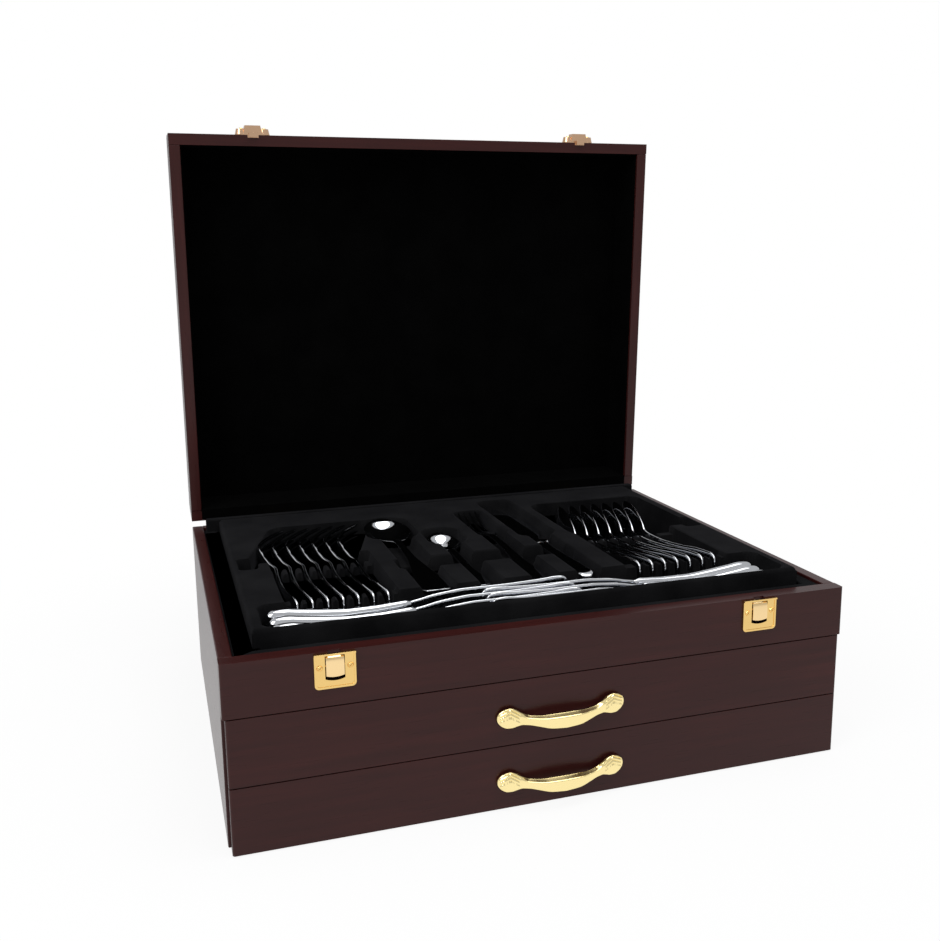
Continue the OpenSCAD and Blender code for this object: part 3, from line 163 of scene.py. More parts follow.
def lacquered_wood(name, grain_axis):
    material, tree, shader = new_material(
        name, Roughness=0.32, IOR=1.5, Specular_IOR_Level=0.2, Coat_Weight=0.05, Coat_Roughness=0.12)
    place = add(tree, "ShaderNodeTexCoord")
    scale = [1 / STREAK_WIDTH] * 3
    scale[grain_axis] = 1 / STREAK_LENGTH
    along = add(tree, "ShaderNodeMapping", {"Vector": (place, "Object")}, {"Scale": scale})
    streaks = add(tree, "ShaderNodeTexNoise", {"Vector": (along, "Vector")},
                  {"Scale": 1.0, "Detail": 5.0, "Roughness": 0.6})
    cloud = add(tree, "ShaderNodeTexNoise", {"Vector": (place, "Object")}, {"Scale": 14.0, "Detail": 3.0})
    colour = ramp(tree, streaks, "Fac", [(0.25, linear("#2C110F")), (0.55, linear("#381614")),
                                         (0.8, linear("#441C19"))])
    clouded = add(tree, "ShaderNodeMix", {"Factor": (cloud, "Fac"), "A": (colour, "Color")},
                  {"B": linear("#301312")}, data_type="RGBA")
    tree.links.new(clouded.outputs["Result"], shader.inputs["Base Color"])
    # Lacquer sinks a little into the grain, a few hundredths of a millimetre
    fine = add(tree, "ShaderNodeMapping", {"Vector": (place, "Object")}, {"Scale": [s * 4 for s in scale]})
    pores = add(tree, "ShaderNodeTexNoise", {"Vector": (fine, "Vector")}, {"Scale": 1.0, "Detail": 4.0})
    rough = add(tree, "ShaderNodeMapRange", {"Value": (pores, "Fac")}, {"To Min": 0.24, "To Max": 0.34})
    tree.links.new(rough.outputs["Result"], shader.inputs["Roughness"])
    bump = add(tree, "ShaderNodeBump", {"Height": (pores, "Fac")}, {"Strength": 0.25, "Distance": 0.0001})
    tree.links.new(bump.outputs["Normal"], shader.inputs["Normal"])
    return material


lacquer_x = lacquered_wood("mahogany_lacquer_across", 0)
lacquer_y = lacquered_wood("mahogany_lacquer_front_to_back", 1)
lacquer_z = lacquered_wood("mahogany_lacquer_upright", 2)
print("lacquer in three grain directions")

# %% [markdown]
# ## Plywood
# The floors and drawer boxes are bare birch plywood, sanded: pale, matt, with a
# gentle figure that runs from side to side.

# %% Birch plywood
def birch_plywood(name):
    material, tree, shader = new_material(name, Roughness=0.62, IOR=1.45)
    place = add(tree, "ShaderNodeTexCoord")
    along = add(tree, "ShaderNodeMapping", {"Vector": (place, "Object")}, {"Scale": [12.0, 180.0, 500.0]})
    figure = add(tree, "ShaderNodeTexNoise", {"Vector": (along, "Vector")}, {"Scale": 1.0, "Detail": 6.0})
    colour = ramp(tree, figure, "Fac", [(0.3, linear("#A98A63")), (0.55, linear("#BC9E76")),
                                        (0.75, linear("#C9AE88"))])
    tree.links.new(colour.outputs["Color"], shader.inputs["Base Color"])
    bump = add(tree, "ShaderNodeBump", {"Height": (figure, "Fac")}, {"Strength": 0.3, "Distance": 0.0002})
    tree.links.new(bump.outputs["Normal"], shader.inputs["Normal"])
    return material


plywood = birch_plywood("birch_plywood_sanded")

# %% [markdown]
# ## Black flock
# The inserts and linings are moulded forms covered in short nylon flock. Flock drinks
# light when seen straight on and shows a grey sheen at the edges; where hands have
# brushed it, the pile leans and the black turns cloudy.

# %% Flock and felt
def nylon_flock(name, dark, light, sheen):
    material, tree, shader = new_material(
        name, Roughness=0.95, Specular_IOR_Level=0.03, Sheen_Weight=sheen, Sheen_Roughness=0.45,
        Sheen_Tint=linear("#B9B9C4"))
    place = add(tree, "ShaderNodeTexCoord")
    brushed = add(tree, "ShaderNodeTexNoise", {"Vector": (place, "Object")},
                  {"Scale": 26.0, "Detail": 4.0, "Roughness": 0.55})
    colour = ramp(tree, brushed, "Fac", [(0.35, linear(dark)), (0.68, linear(light))])
    tree.links.new(colour.outputs["Color"], shader.inputs["Base Color"])
    # The pile is 0.5 mm long; it is drawn twice as coarse so that it shows
    pile = add(tree, "ShaderNodeTexNoise", {"Vector": (place, "Object")}, {"Scale": 900.0, "Detail": 2.0})
    bump = add(tree, "ShaderNodeBump", {"Height": (pile, "Fac")}, {"Strength": 0.5, "Distance": 0.0004})
    tree.links.new(bump.outputs["Normal"], shader.inputs["Normal"])
    return material


flock = nylon_flock("black_nylon_flock", "#0B0B0C", "#151516", 0.035)
# The lid's lining is the same flock drawn near black and without sheen: painted shade inside the lid
lid_flock_painted_shade = nylon_flock("black_nylon_flock_painted_shade", "#010101", "#030303", 0.0)
felt = nylon_flock("black_wool_felt", "#141416", "#1E1E21", 0.1)
print("flock, lid flock and felt")

# %% [markdown]
# ## Metals
# All the fittings are taken to be polished, lacquered brass. The photograph shows them in
# four shades, so there are four tints, given one by one: plates and hinges, thumb levers,
# pulls, and strikes. The tints are lit and shaded copies of one brass: against the plates and
# hinges, the paler levers and pulls carry painted light, the tan strikes painted shade and a
# painted reflection. The flatware is mirror-polished stainless steel. All are smooth, so what
# shows is mostly what they mirror, with faint polishing marks and finger haze in the roughness.

# %% Brass and steel
def polished_metal(name, tint, low, high, haze_scale):
    material, tree, shader = new_material(name, Metallic=1.0, Base_Color=linear(tint))
    place = add(tree, "ShaderNodeTexCoord")
    haze = add(tree, "ShaderNodeTexNoise", {"Vector": (place, "Object")},
               {"Scale": haze_scale, "Detail": 4.0, "Roughness": 0.65})
    rough = add(tree, "ShaderNodeMapRange", {"Value": (haze, "Fac")},
                {"From Min": 0.3, "From Max": 0.7, "To Min": low, "To Max": high})
    tree.links.new(rough.outputs["Result"], shader.inputs["Roughness"])
    orange = add(tree, "ShaderNodeTexNoise", {"Vector": (place, "Object")}, {"Scale": 260.0, "Detail": 2.0})
    bump = add(tree, "ShaderNodeBump", {"Height": (orange, "Fac")}, {"Strength": 0.1, "Distance": 0.0001})
    tree.links.new(bump.outputs["Normal"], shader.inputs["Normal"])
    return material


brass = polished_metal("brass_stamped_lacquered", "#EFC97F", 0.1, 0.24, 120.0)
# The paler tints of the pulls and levers are painted light; the strikes' tan tint is painted shade with a
# painted reflection
pull_brass_painted_light = polished_metal("brass_cast_painted_light", "#FFEBAB", 0.06, 0.16, 120.0)
lever_brass_painted_light = polished_metal("brass_drawn_painted_light", "#F9D9A2", 0.08, 0.18, 120.0)
brass_painted_shade = polished_metal("red_brass_stamped", "#DDB694", 0.14, 0.3, 120.0)
steel = polished_metal("stainless_steel_mirror_polished", "#CFD1D5", 0.04, 0.1, 90.0)
wire = polished_metal("spring_wire_drawn", "#9A9CA0", 0.25, 0.4, 200.0)
print("brass, steel and wire")

# %% [markdown]
# ## Boards with eased edges
# A joiner breaks every arris with a touch of sandpaper, and lacquer rounds it further.
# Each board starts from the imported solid: its triangles are merged back into flat
# faces, and its sharp edges are bevelled.

# %% Easing function
def finish_mesh(piece, smooth_angle=30):
    piece.data.polygons.foreach_set("use_smooth", [True] * len(piece.data.polygons))
    piece.data.set_sharp_from_angle(angle=math.radians(smooth_angle))
    return piece


def eased(node, radius, material, segments):
    """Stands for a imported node: the same solid with its sharp edges rounded."""
    source = frame["nodes"][node]
    work = bmesh.new()
    work.from_mesh(source.data)
    bmesh.ops.remove_doubles(work, verts=work.verts, dist=1e-6)
    bmesh.ops.dissolve_limit(work, angle_limit=math.radians(1), verts=work.verts, edges=work.edges)
    sharp = [e for e in work.edges if len(e.link_faces) == 2 and e.calc_face_angle(0) > math.radians(35)]
    bmesh.ops.bevel(work, geom=sharp, offset=radius, segments=segments, profile=0.5,
                    affect="EDGES", clamp_overlap=True)
    mesh = bpy.data.meshes.new(node + ".eased")
    work.to_mesh(mesh)
    work.free()
    piece = bpy.data.objects.new(node + ".eased", mesh)
    scene.collection.objects.link(piece)
    mesh.materials.append(material)
    finish_mesh(piece)
    weighted = piece.modifiers.new("flat faces stay flat", "WEIGHTED_NORMAL")
    weighted.keep_sharp = True
    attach(piece, source["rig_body"])
    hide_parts(node)
    return piece


# %% Case, lid and drawer boards
WOOD_EDGE = 0.9 * MM
boards = {
    "side_panel_left": lacquer_y, "side_panel_right": lacquer_y, "back_panel": lacquer_x,
    "upper_front_board": lacquer_x, "upper_drawer_front": lacquer_x, "lower_drawer_front": lacquer_x,
    "lid_front_rail": lacquer_x, "lid_back_rail": lacquer_x, "lid_left_rail": lacquer_z,
    "lid_right_rail": lacquer_z, "lid_top_panel": lacquer_x,
}
for node, material in boards.items():
    eased(node, WOOD_EDGE, material, 3)

plain_parts = ["compartment_floor", "drawer_divider", "bottom_panel"]
for drawer in ("upper", "lower"):
    plain_parts += [f"{drawer}_drawer_{part}" for part in ("left_side", "right_side", "back", "bottom")]
for node in plain_parts:
    eased(node, 0.4 * MM, plywood, 1)
eased("base_felt", 0.3 * MM, felt, 1)
eased("compartment_liner", 1.5 * MM, flock, 3)
# The lid lining's near-black flock is painted shade
eased("lid_lining", 0.08 * MM, lid_flock_painted_shade, 1)
print(len(boards), "lacquered boards,", len(plain_parts), "plywood parts")

# %% Metal fittings with eased edges
BRASS_EDGE = 0.15 * MM
# The levers' paler brass is painted light; the strikes' tan brass is painted shade and a painted reflection
for side in ("left", "right"):
    for node, metal in (("hinge_base_leaf_", brass), ("hinge_lid_leaf_", brass), ("hinge_pin_", brass),
                        ("catch_plate_", brass), ("catch_lever_", lever_brass_painted_light), ("strike_plate_", brass_painted_shade)):
        eased(node + side, BRASS_EDGE, metal, 2)
for node in ("hinge_base_screws", "hinge_lid_screws", "catch_plate_screws", "strike_screws", "catch_pins",
             "upper_handle_screws", "lower_handle_screws"):
    eased(node, BRASS_EDGE, brass, 1)
frame["nodes"]["catch_springs"].data.materials.clear()
frame["nodes"]["catch_springs"].data.materials.append(wire)
print("fittings done")

# %% [markdown]
# ## Flocked inserts
# A flocked insert is a moulded sheet: every pocket has drafted walls and soft rims,
# because the pile and the glue fill each corner. A height over a fine grid describes
# such a form well. Each pocket is a rounded rectangle; the distance to its outline
# says how far down its wall has come.

# %% Height-field tools
GRID = 1.3 * MM


def soft_step(value):
    t = np.clip(value, 0, 1)
    return t * t * (3 - 2 * t)


def rounded_rectangle(x, y, x0, x1, y0, y1, radius):
    """Distance to the outline of a rounded rectangle, negative inside."""
    radius = min(radius, (x1 - x0) / 2, (y1 - y0) / 2)
    qx = np.abs(x - (x0 + x1) / 2) - (x1 - x0) / 2 + radius
    qy = np.abs(y - (y0 + y1) / 2) - (y1 - y0) / 2 + radius
    return np.hypot(np.maximum(qx, 0), np.maximum(qy, 0)) + np.minimum(np.maximum(qx, qy), 0) - radius


def sink(distance, depth, draft=2.6 * MM, rim=1.0 * MM):
    """Depth of a pocket wall at a distance from its outline."""
    return depth * soft_step((rim - distance) / (draft + rim))


def moulded(name, node, depth_at, rim_radius, material):
    """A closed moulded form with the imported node's outline and the given depth below its top."""
    low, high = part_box(node)
    nx = int(round((high.x - low.x) / GRID)) + 1
    ny = int(round((high.y - low.y) / GRID)) + 1
    x, y = np.meshgrid(np.linspace(low.x, high.x, nx), np.linspace(low.y, high.y, ny))
    depth = depth_at(x, y)
    inset = -rounded_rectangle(x, y, low.x, high.x, low.y, high.y, 3 * MM)
    past_rim = np.clip(rim_radius - inset, 0, rim_radius)
    fall = rim_radius - np.sqrt(np.maximum(rim_radius ** 2 - past_rim ** 2, 0))
    z = high.z - np.maximum(depth, fall)
    top = np.stack([x, y, z], axis=-1).reshape(-1, 3)
    index = np.arange(nx * ny).reshape(ny, nx)
    faces = [tuple(f) for f in np.stack(
        [index[:-1, :-1], index[:-1, 1:], index[1:, 1:], index[1:, :-1]], axis=-1).reshape(-1, 4)]
    border = np.concatenate([index[0, :], index[1:, -1], index[-1, -2::-1], index[-2:0:-1, 0]])
    skirt = top[border].copy()
    skirt[:, 2] = low.z
    base = len(top) + np.arange(len(border))
    count = len(border)
    faces += [(int(border[i]), int(base[i]), int(base[(i + 1) % count]), int(border[(i + 1) % count]))
              for i in range(count)]
    faces.append(tuple(int(b) for b in base[::-1]))
    mesh = bpy.data.meshes.new(name)
    mesh.from_pydata(np.concatenate([top, skirt]).tolist(), [], faces)
    mesh.materials.append(material)
    piece = bpy.data.objects.new(name, mesh)
    scene.collection.objects.link(piece)
    finish_mesh(piece, 60)
    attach(piece, frame["nodes"][node]["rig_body"])
    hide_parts(node)
    return piece


# %% The flatware insert
INSERT_LOW, INSERT_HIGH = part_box("insert_tray")
TOP = INSERT_HIGH.z
INSERT_X = INSERT_HIGH.x
TROUGH_FRONT = INSERT_LOW.y + 3.5 * MM
TROUGH_BACK = TROUGH_FRONT + 47 * MM
TROUGH_DEPTH = 22.3 * MM
# Millimetres from the trough's back to each knife: handles to the left, then to the right
KNIVES_LEFT = (7, 23, 37.5)
KNIVES_RIGHT = (17, 29, 41)
# Finger wells at both ends of the insert, and the cross trench behind the trough
WELL_INSET, WELL_HALF_W, WELL_HALF_L, WELL_DEPTH = (v * MM for v in (12.5, 7.5, 15, 26))
TRENCH_X0, TRENCH_X1, TRENCH_DEPTH = (v * MM for v in (-86, 67, 20))
RACK_COUNT = 7
PITCH = 11.6 * MM
RACK_W = (RACK_COUNT - 1) * PITCH
FORK_X = -INSERT_X + 36.5 * MM
FORK_END = TROUGH_BACK + 5 * MM
FORK_Z = TOP - 10.5 * MM
SPOON_X = INSERT_X - 47.5 * MM - RACK_W
SPOON_END = TROUGH_BACK + 4 * MM
SPOON_Z = TOP - 10 * MM
PIECE_END = TROUGH_BACK + 3 * MM
SUGAR_END = TROUGH_BACK + 14 * MM
# name: x, handle end, length, head width, head length, groove width, groove depth, head sink, corner
SERVING_POCKETS = {
    "serving_spoon": (-68, PIECE_END, 212, 46, 76, 28, 8, 10, 22),
    "sugar_spoon": (-26, SUGAR_END, 148, 33, 52, 18, 12, 10, 16),
    "serving_fork": (19, PIECE_END, 210, 27, 86, 22, 10, 5, 6),
    "pie_server": (57, PIECE_END, 244, 34, 136, 20, 12, 0, 10),
}


def comb(x, y, y0, y1, first_x, slot_w, top_depth, slot_depth, depth):
    """Fills a band of a pocket up to top_depth, apart from a slot for each piece."""
    nearest = np.clip(np.round((x - first_x) / PITCH), 0, RACK_COUNT - 1)
    from_slot = np.abs(x - first_x - nearest * PITCH) - slot_w / 2
    slot = soft_step((1.2 * MM - from_slot) / (2.0 * MM))
    band = soft_step((np.minimum(y - y0, y1 - y) + 1.0 * MM) / (2.4 * MM))
    level_here = top_depth + (slot_depth - top_depth) * slot
    return depth * (1 - band) + np.minimum(depth, level_here) * band


def insert_depth(x, y):
    depth = sink(rounded_rectangle(x, y, -INSERT_X + 9 * MM, INSERT_X - 9 * MM,
                                   TROUGH_FRONT, TROUGH_BACK, 9 * MM), TROUGH_DEPTH)
    for side in (-1, 1):
        cx = side * (INSERT_X - WELL_INSET)
        depth = np.maximum(depth, sink(rounded_rectangle(
            x, y, cx - WELL_HALF_W, cx + WELL_HALF_W, -WELL_HALF_L, WELL_HALF_L, 4 * MM), WELL_DEPTH))
    # Fork rack: handle pocket, and a head pocket that leans to the right like the heads
    fork_neck = FORK_END + 108 * MM
    fork_floor = TOP - (FORK_Z - 12.8 * MM)
    racks = sink(rounded_rectangle(x, y, FORK_X - 7 * MM, FORK_X + RACK_W + 8 * MM,
                                   TROUGH_BACK - 4 * MM, fork_neck, 4 * MM), fork_floor)
    lean = (y - fork_neck) * 0.30
    heads = rounded_rectangle(x - lean, y, FORK_X - 24 * MM, FORK_X + RACK_W + 1 * MM,
                              fork_neck - 6 * MM, FORK_END + 211 * MM, 12 * MM)
    racks = np.maximum(racks, sink(heads, fork_floor))
    racks = comb(x, y, fork_neck - 26 * MM, fork_neck - 10 * MM, FORK_X - 1.2 * MM, 6 * MM,
                 6 * MM, 15 * MM, racks)
    spoon_neck = SPOON_END + 100 * MM
    spoon_floor = TOP - (SPOON_Z - 20.3 * MM)
    spoons = sink(rounded_rectangle(x, y, SPOON_X - 12 * MM, SPOON_X + RACK_W + 36 * MM,
                                    spoon_neck - 4 * MM, SPOON_END + 215 * MM, 14 * MM), spoon_floor)
    spoons = np.maximum(spoons, sink(rounded_rectangle(
        x, y, SPOON_X - 9 * MM, SPOON_X + RACK_W + 13 * MM, TROUGH_BACK - 4 * MM,
        spoon_neck + 12 * MM, 4 * MM), spoon_floor))
    spoons = comb(x, y, spoon_neck - 16 * MM, spoon_neck - 5 * MM, SPOON_X - 4.6 * MM, 6 * MM,
                  6 * MM, 14.6 * MM, spoons)
    racks = np.maximum(racks, spoons)
    for cx, end, length, head_w, head_l, groove_w, groove, head_sink, corner in SERVING_POCKETS.values():
        cx, tip = cx * MM, end + length * MM
        racks = np.maximum(racks, sink(rounded_rectangle(
            x, y, cx - head_w / 2 * MM, cx + head_w / 2 * MM, tip - head_l * MM, tip + 3 * MM,
            corner * MM), (groove + head_sink) * MM, draft=3.5 * MM))
        racks = np.maximum(racks, sink(rounded_rectangle(
            x, y, cx - groove_w / 2 * MM, cx + groove_w / 2 * MM, TROUGH_BACK - 4 * MM,
            tip - (head_l - corner) * MM, 4 * MM), groove * MM))
    # The racks' front combs are the trough's back wall
    for first_x, slot_w, slot_depth, x0, x1 in (
            (FORK_X + 1.4 * MM, 6 * MM, 20.3 * MM, FORK_X - 9 * MM, FORK_X + RACK_W + 10 * MM),
            (SPOON_X + 4.8 * MM, 6.5 * MM, 20.3 * MM, SPOON_X - 11 * MM, SPOON_X + RACK_W + 15 * MM)):
        combed = comb(x, y, TROUGH_BACK, TROUGH_BACK + 12 * MM, first_x, slot_w, 3 * MM, slot_depth, racks)
        racks = np.where((x > x0) & (x < x1), combed, racks)
    trench = sink(rounded_rectangle(x, y, TRENCH_X0, TRENCH_X1, TROUGH_BACK + 52 * MM,
                                    TROUGH_BACK + 79 * MM, 5 * MM), TRENCH_DEPTH)
    depth = np.maximum(np.maximum(depth, racks), trench)
    # Combs across the trough carry the blades
    for comb_x, ys in ((-68.5 * MM, KNIVES_LEFT), (62.5 * MM, KNIVES_RIGHT)):
        gap = np.min([np.abs(y - (TROUGH_BACK - d * MM)) for d in ys], axis=0) - 1.3 * MM
        wall = soft_step((4 * MM - np.abs(x - comb_x)) / (2 * MM)) * soft_step(gap / (1.6 * MM))
        inside = (y > TROUGH_FRONT - 2 * MM) & (y < TROUGH_BACK + 2 * MM)
        depth = np.where(inside, np.minimum(depth, TROUGH_DEPTH - 12 * MM * wall), depth)
    return depth


moulded("insert_tray.flocked", "insert_tray", insert_depth, 3.0 * MM, flock)
print("insert moulded")

# %% Drawer inserts
def drawer_depth(node, columns, has_trough):
    low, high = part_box(node)
    wall, depth = 8 * MM, high.z - low.z - 4 * MM
    pitch = (high.x - low.x - wall) / columns
    row_y = low.y + wall + (62 * MM if has_trough else 0)

    def depth_at(x, y):
        total = x * 0
        if has_trough:
            total = sink(rounded_rectangle(x, y, low.x + wall, high.x - wall, low.y + wall,
                                           low.y + wall + 54 * MM, 12 * MM), depth)
        for i in range(columns):
            x0 = low.x + wall + i * pitch
            total = np.maximum(total, sink(rounded_rectangle(
                x, y, x0, x0 + pitch - wall, row_y, high.y - wall, 14 * MM), depth))
        return total
    return depth_at


for node, columns, has_trough in (("upper_drawer_insert", 5, True), ("lower_drawer_insert", 4, False)):
    moulded(node + ".flocked", node, drawer_depth(node, columns, has_trough), 2.5 * MM, flock)
print("drawer inserts moulded")

# %% [markdown]
# ## Pressed flatware
# Forks and spoons start as flat blanks. A press bends them along their length and
# dishes the bowls; a polisher then rounds every edge. So each piece follows a side
# line, takes its width from a few rows, and has a rounded section all the way.

# %% Section tools
def bezier(points, count):
    a, b, c, d = (np.array(p, float) for p in points)
    t = np.linspace(0, 1, count + 1)[:, None]
    return a * (1 - t) ** 3 + 3 * b * t * (1 - t) ** 2 + 3 * c * t * t * (1 - t) + d * t ** 3


def chain(*curves, count=24):
    """Bezier curves joined end to end."""
    parts = [bezier(c, count) for c in curves]
    return np.concatenate([parts[0]] + [part[1:] for part in parts[1:]])


def along(rows, at):
    """A smooth curve through (place, value) rows, without overshoot."""
    place, value = np.array(rows, float).T
    gap = np.diff(place)
    rise = np.diff(value) / gap
    slope = np.zeros_like(value)
    same = rise[:-1] * rise[1:] > 0
    slope[1:-1][same] = (2 * rise[:-1] * rise[1:])[same] / (rise[:-1] + rise[1:])[same]
    slope[0], slope[-1] = rise[0], rise[-1]
    at = np.clip(at, place[0], place[-1])
    i = np.clip(np.searchsorted(place, at, side="right") - 1, 0, len(gap) - 1)
    t = (at - place[i]) / gap[i]
    return ((2 * t ** 3 - 3 * t ** 2 + 1) * value[i] + (t ** 3 - 2 * t ** 2 + t) * gap[i] * slope[i]
            + (3 * t ** 2 - 2 * t ** 3) * value[i + 1] + (t ** 3 - t ** 2) * gap[i] * slope[i + 1])


def tube(rings):
    """Faces between rings of equally many points, with both ends closed."""
    rings = np.asarray(rings)
    count, around = rings.shape[:2]
    index = np.arange(count * around).reshape(count, around)
    turned = np.roll(index, -1, axis=1)
    faces = np.stack([index[:-1], turned[:-1], turned[1:], index[1:]], axis=-1).reshape(-1, 4).tolist()
    faces += [index[0, ::-1].tolist(), index[-1].tolist()]
    return rings.reshape(-1, 3), faces


def rounded_section(count, squareness):
    """Points (across, through) of a flat section whose corners are rounded."""
    angle = np.linspace(0, 2 * np.pi, count, endpoint=False) + np.pi / count
    power = 2 / squareness
    return np.stack([np.sign(np.cos(angle)) * np.abs(np.cos(angle)) ** power,
                     np.sign(np.sin(angle)) * np.abs(np.sin(angle)) ** power], axis=-1)


def pressed(line, rows, thickness, dish=None, centre=None, squareness=3.0, count=20, span=None,
            stations=110):
    """A strip along Y that follows line (y, z); rows give half widths, dish the bowl's depth."""
    steps = np.concatenate([[0], np.cumsum(np.hypot(*np.diff(line, axis=0).T))])
    fine = np.linspace(0, 1, stations)
    # The stations crowd together at both ends, where the outline turns round
    fine = (fine + 0.5 * (1 - np.cos(np.pi * fine))) / 2
    y, z = (np.interp(fine * steps[-1], steps, column) for column in line.T)
    if span:
        keep = (y >= span[0]) & (y <= span[1])
        y, z = y[keep], z[keep]
    dy, dz = np.gradient(y), np.gradient(z)
    size = np.hypot(dy, dz)
    normal = np.stack([-dz / size, dy / size], axis=-1)
    half = along(rows, y)
    middle = along(centre, y) if centre else y * 0
    depth = along(dish, y) if dish else y * 0
    thick = along(thickness, y) / 2
    section = rounded_section(count, squareness)
    across = section[:, 0][None, :]
    offset = thick[:, None] * section[:, 1][None, :] - depth[:, None] * (1 - across ** 2)
    x = middle[:, None] + half[:, None] * across
    y, z = y[:, None] + offset * normal[:, :1], z[:, None] + offset * normal[:, 1:]
    return tube(np.stack([x, y, z], axis=-1))


def joined(parts):
    """Several (points, faces) as one."""
    points, faces, start = [], [], 0
    for part_points, part_faces in parts:
        points.append(part_points)
        faces += [[i + start for i in face] for face in part_faces]
        start += len(part_points)
    return np.concatenate(points), faces


def moved(part, turn=None, at=(0, 0, 0)):
    points, faces = part
    if turn is not None:
        points = points @ np.array(turn, float).T
    return points + np.array(at, float), faces


def metal_piece(name, part, node, material, smooth_angle=50):
    """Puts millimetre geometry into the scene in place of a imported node."""
    points, faces = part
    mesh = bpy.data.meshes.new(name)
    mesh.from_pydata((np.asarray(points) * MM).tolist(), [], faces)
    mesh.materials.append(material)
    piece = bpy.data.objects.new(name, mesh)
    scene.collection.objects.link(piece)
    finish_mesh(piece, smooth_angle)
    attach(piece, frame["nodes"][node]["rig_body"])
    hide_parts(node)
    return piece


# %% Table forks and spoons
NECK = 6.5


def handle_rows(width, neck_y):
    return [(0, 0.3), (0.5, width * 0.2), (2, width * 0.37), (7, width * 0.49), (20, width * 0.48),
            (neck_y * 0.45, width * 0.32), (neck_y * 0.75, NECK / 2 + 0.6), (neck_y, NECK / 2)]


def tines(line, head_w, slot_w, number, start, end, thickness):
    """Tines that leave the head at start and come to blunt points at end."""
    pitch = head_w / number
    parts = []
    for i in range(number):
        middle = (i - (number - 1) / 2) * pitch
        half = (pitch - slot_w) / 2
        parts.append(pressed(line, [(start - 3, half), (end - 12, half * 0.92), (end - 3, half * 0.7),
                                    (end - 0.8, half * 0.45), (end, 0.2)], thickness,
                             centre=[(start - 3, middle), (end, middle * 0.94)],
                             squareness=2.6, count=12, span=(start - 3, end)))
    return parts


def fork_form(line, length, handle_w, head_w, neck_y, slot_w, root):
    head = [(neck_y + 18, NECK / 2 + 0.2), (neck_y + 28, head_w * 0.3), (neck_y + 38, head_w / 2),
            (root, head_w / 2), (root + 1, head_w / 2 - 0.3)]
    gauge = [(0, 2.4), (neck_y, 3.2), (neck_y + 30, 2.2), (length, 1.6)]
    palm = pressed(line, handle_rows(handle_w, neck_y) + head, gauge, span=(0, root + 1))
    return joined([palm] + tines(line, head_w, slot_w, 4, root, length, gauge))


def spoon_form(line, length, handle_w, bowl_w, neck_y, bowl_start, depth):
    bowl = [(bowl_start, NECK / 2 + 0.2)]
    for share, width in ((0.08, 0.42), (0.2, 0.68), (0.38, 0.93), (0.56, 1.0), (0.74, 0.92), (0.88, 0.68),
                         (0.96, 0.4), (0.99, 0.2), (1, 0.03)):
        bowl.append((bowl_start + share * (length - bowl_start), bowl_w / 2 * width))
    middle = (bowl_start + length) / 2
    dish = [(0, 0), (neck_y, 0), (bowl_start, 0), (middle - 10, depth), (middle, depth * 1.02),
            (length - 14, depth * 0.6), (length - 4, depth * 0.08), (length, 0)]
    gauge = [(0, 2.4), (neck_y, 3.2), (bowl_start + 10, 1.8), (length, 1.4)]
    return pressed(line, handle_rows(handle_w, neck_y) + bowl, gauge, dish=dish, count=56, stations=220)


# On edge: the piece's width stands upright and its face looks to the side
ON_EDGE = [(0, 0, 1), (0, 1, 0), (-1, 0, 0)]


def rack(form, x, y, z):
    return joined([moved(form, ON_EDGE, (x + i * PITCH / MM, y, z)) for i in range(RACK_COUNT)])


fork_line = chain([(0, 3), (14, -3), (60, -4), (106, -1)], [(106, -1), (120, -1), (128, -11), (143, -11)],
                  [(143, -11), (164, -11), (186, 2), (203, 18)])
table_fork = fork_form(fork_line, 203, 19, 25, 100, 2.6, 153)
metal_piece("table_forks.polished", rack(table_fork, FORK_X / MM, FORK_END / MM, FORK_Z / MM),
            "table_forks", steel)

spoon_line = chain([(0, 6), (22, 2), (70, -8), (104, -5)], [(104, -5), (130, -1), (158, -3), (185, 7)])
table_spoon = spoon_form(spoon_line, 185, 20, 40, 105, 110, 5.5)
metal_piece("table_spoons.polished", rack(table_spoon, SPOON_X / MM, SPOON_END / MM, SPOON_Z / MM),
            "table_spoons", steel)
print("forks and spoons pressed")

# %% Serving pieces
TOP_MM = TOP / MM
SEAT = 0.3


def serving_line(length, bowl_l, rise):
    return chain([(0, 1.5), (length * 0.2, 0), (length * 0.4, rise), (length - bowl_l, rise)],
                 [(length - bowl_l, rise), (length - bowl_l * 0.7, rise), (length - bowl_l * 0.4, rise - 2.5),
                  (length, rise + 3)])


def lay(name, form, x, y, seat):
    metal_piece(name + ".polished", moved(form, at=(x, y / MM, TOP_MM - seat + 1.1 + SEAT)),
                name, steel)


lay("serving_spoon", spoon_form(serving_line(212, 78, 3.5), 212, 26, 42, 122, 138, 11), -68, PIECE_END, 8)
lay("sugar_spoon", spoon_form(serving_line(148, 50, 3.5), 148, 14, 30, 88, 98, 9), -26, SUGAR_END, 12)
serving_fork_line = chain([(0, 0.1), (40, -1), (80, 5), (128, 5)], [(128, 5), (150, 5), (170, -12), (210, 8)])
lay("serving_fork", fork_form(serving_fork_line, 210, 19, 24, 118, 3.2, 166), 19, PIECE_END, 10)


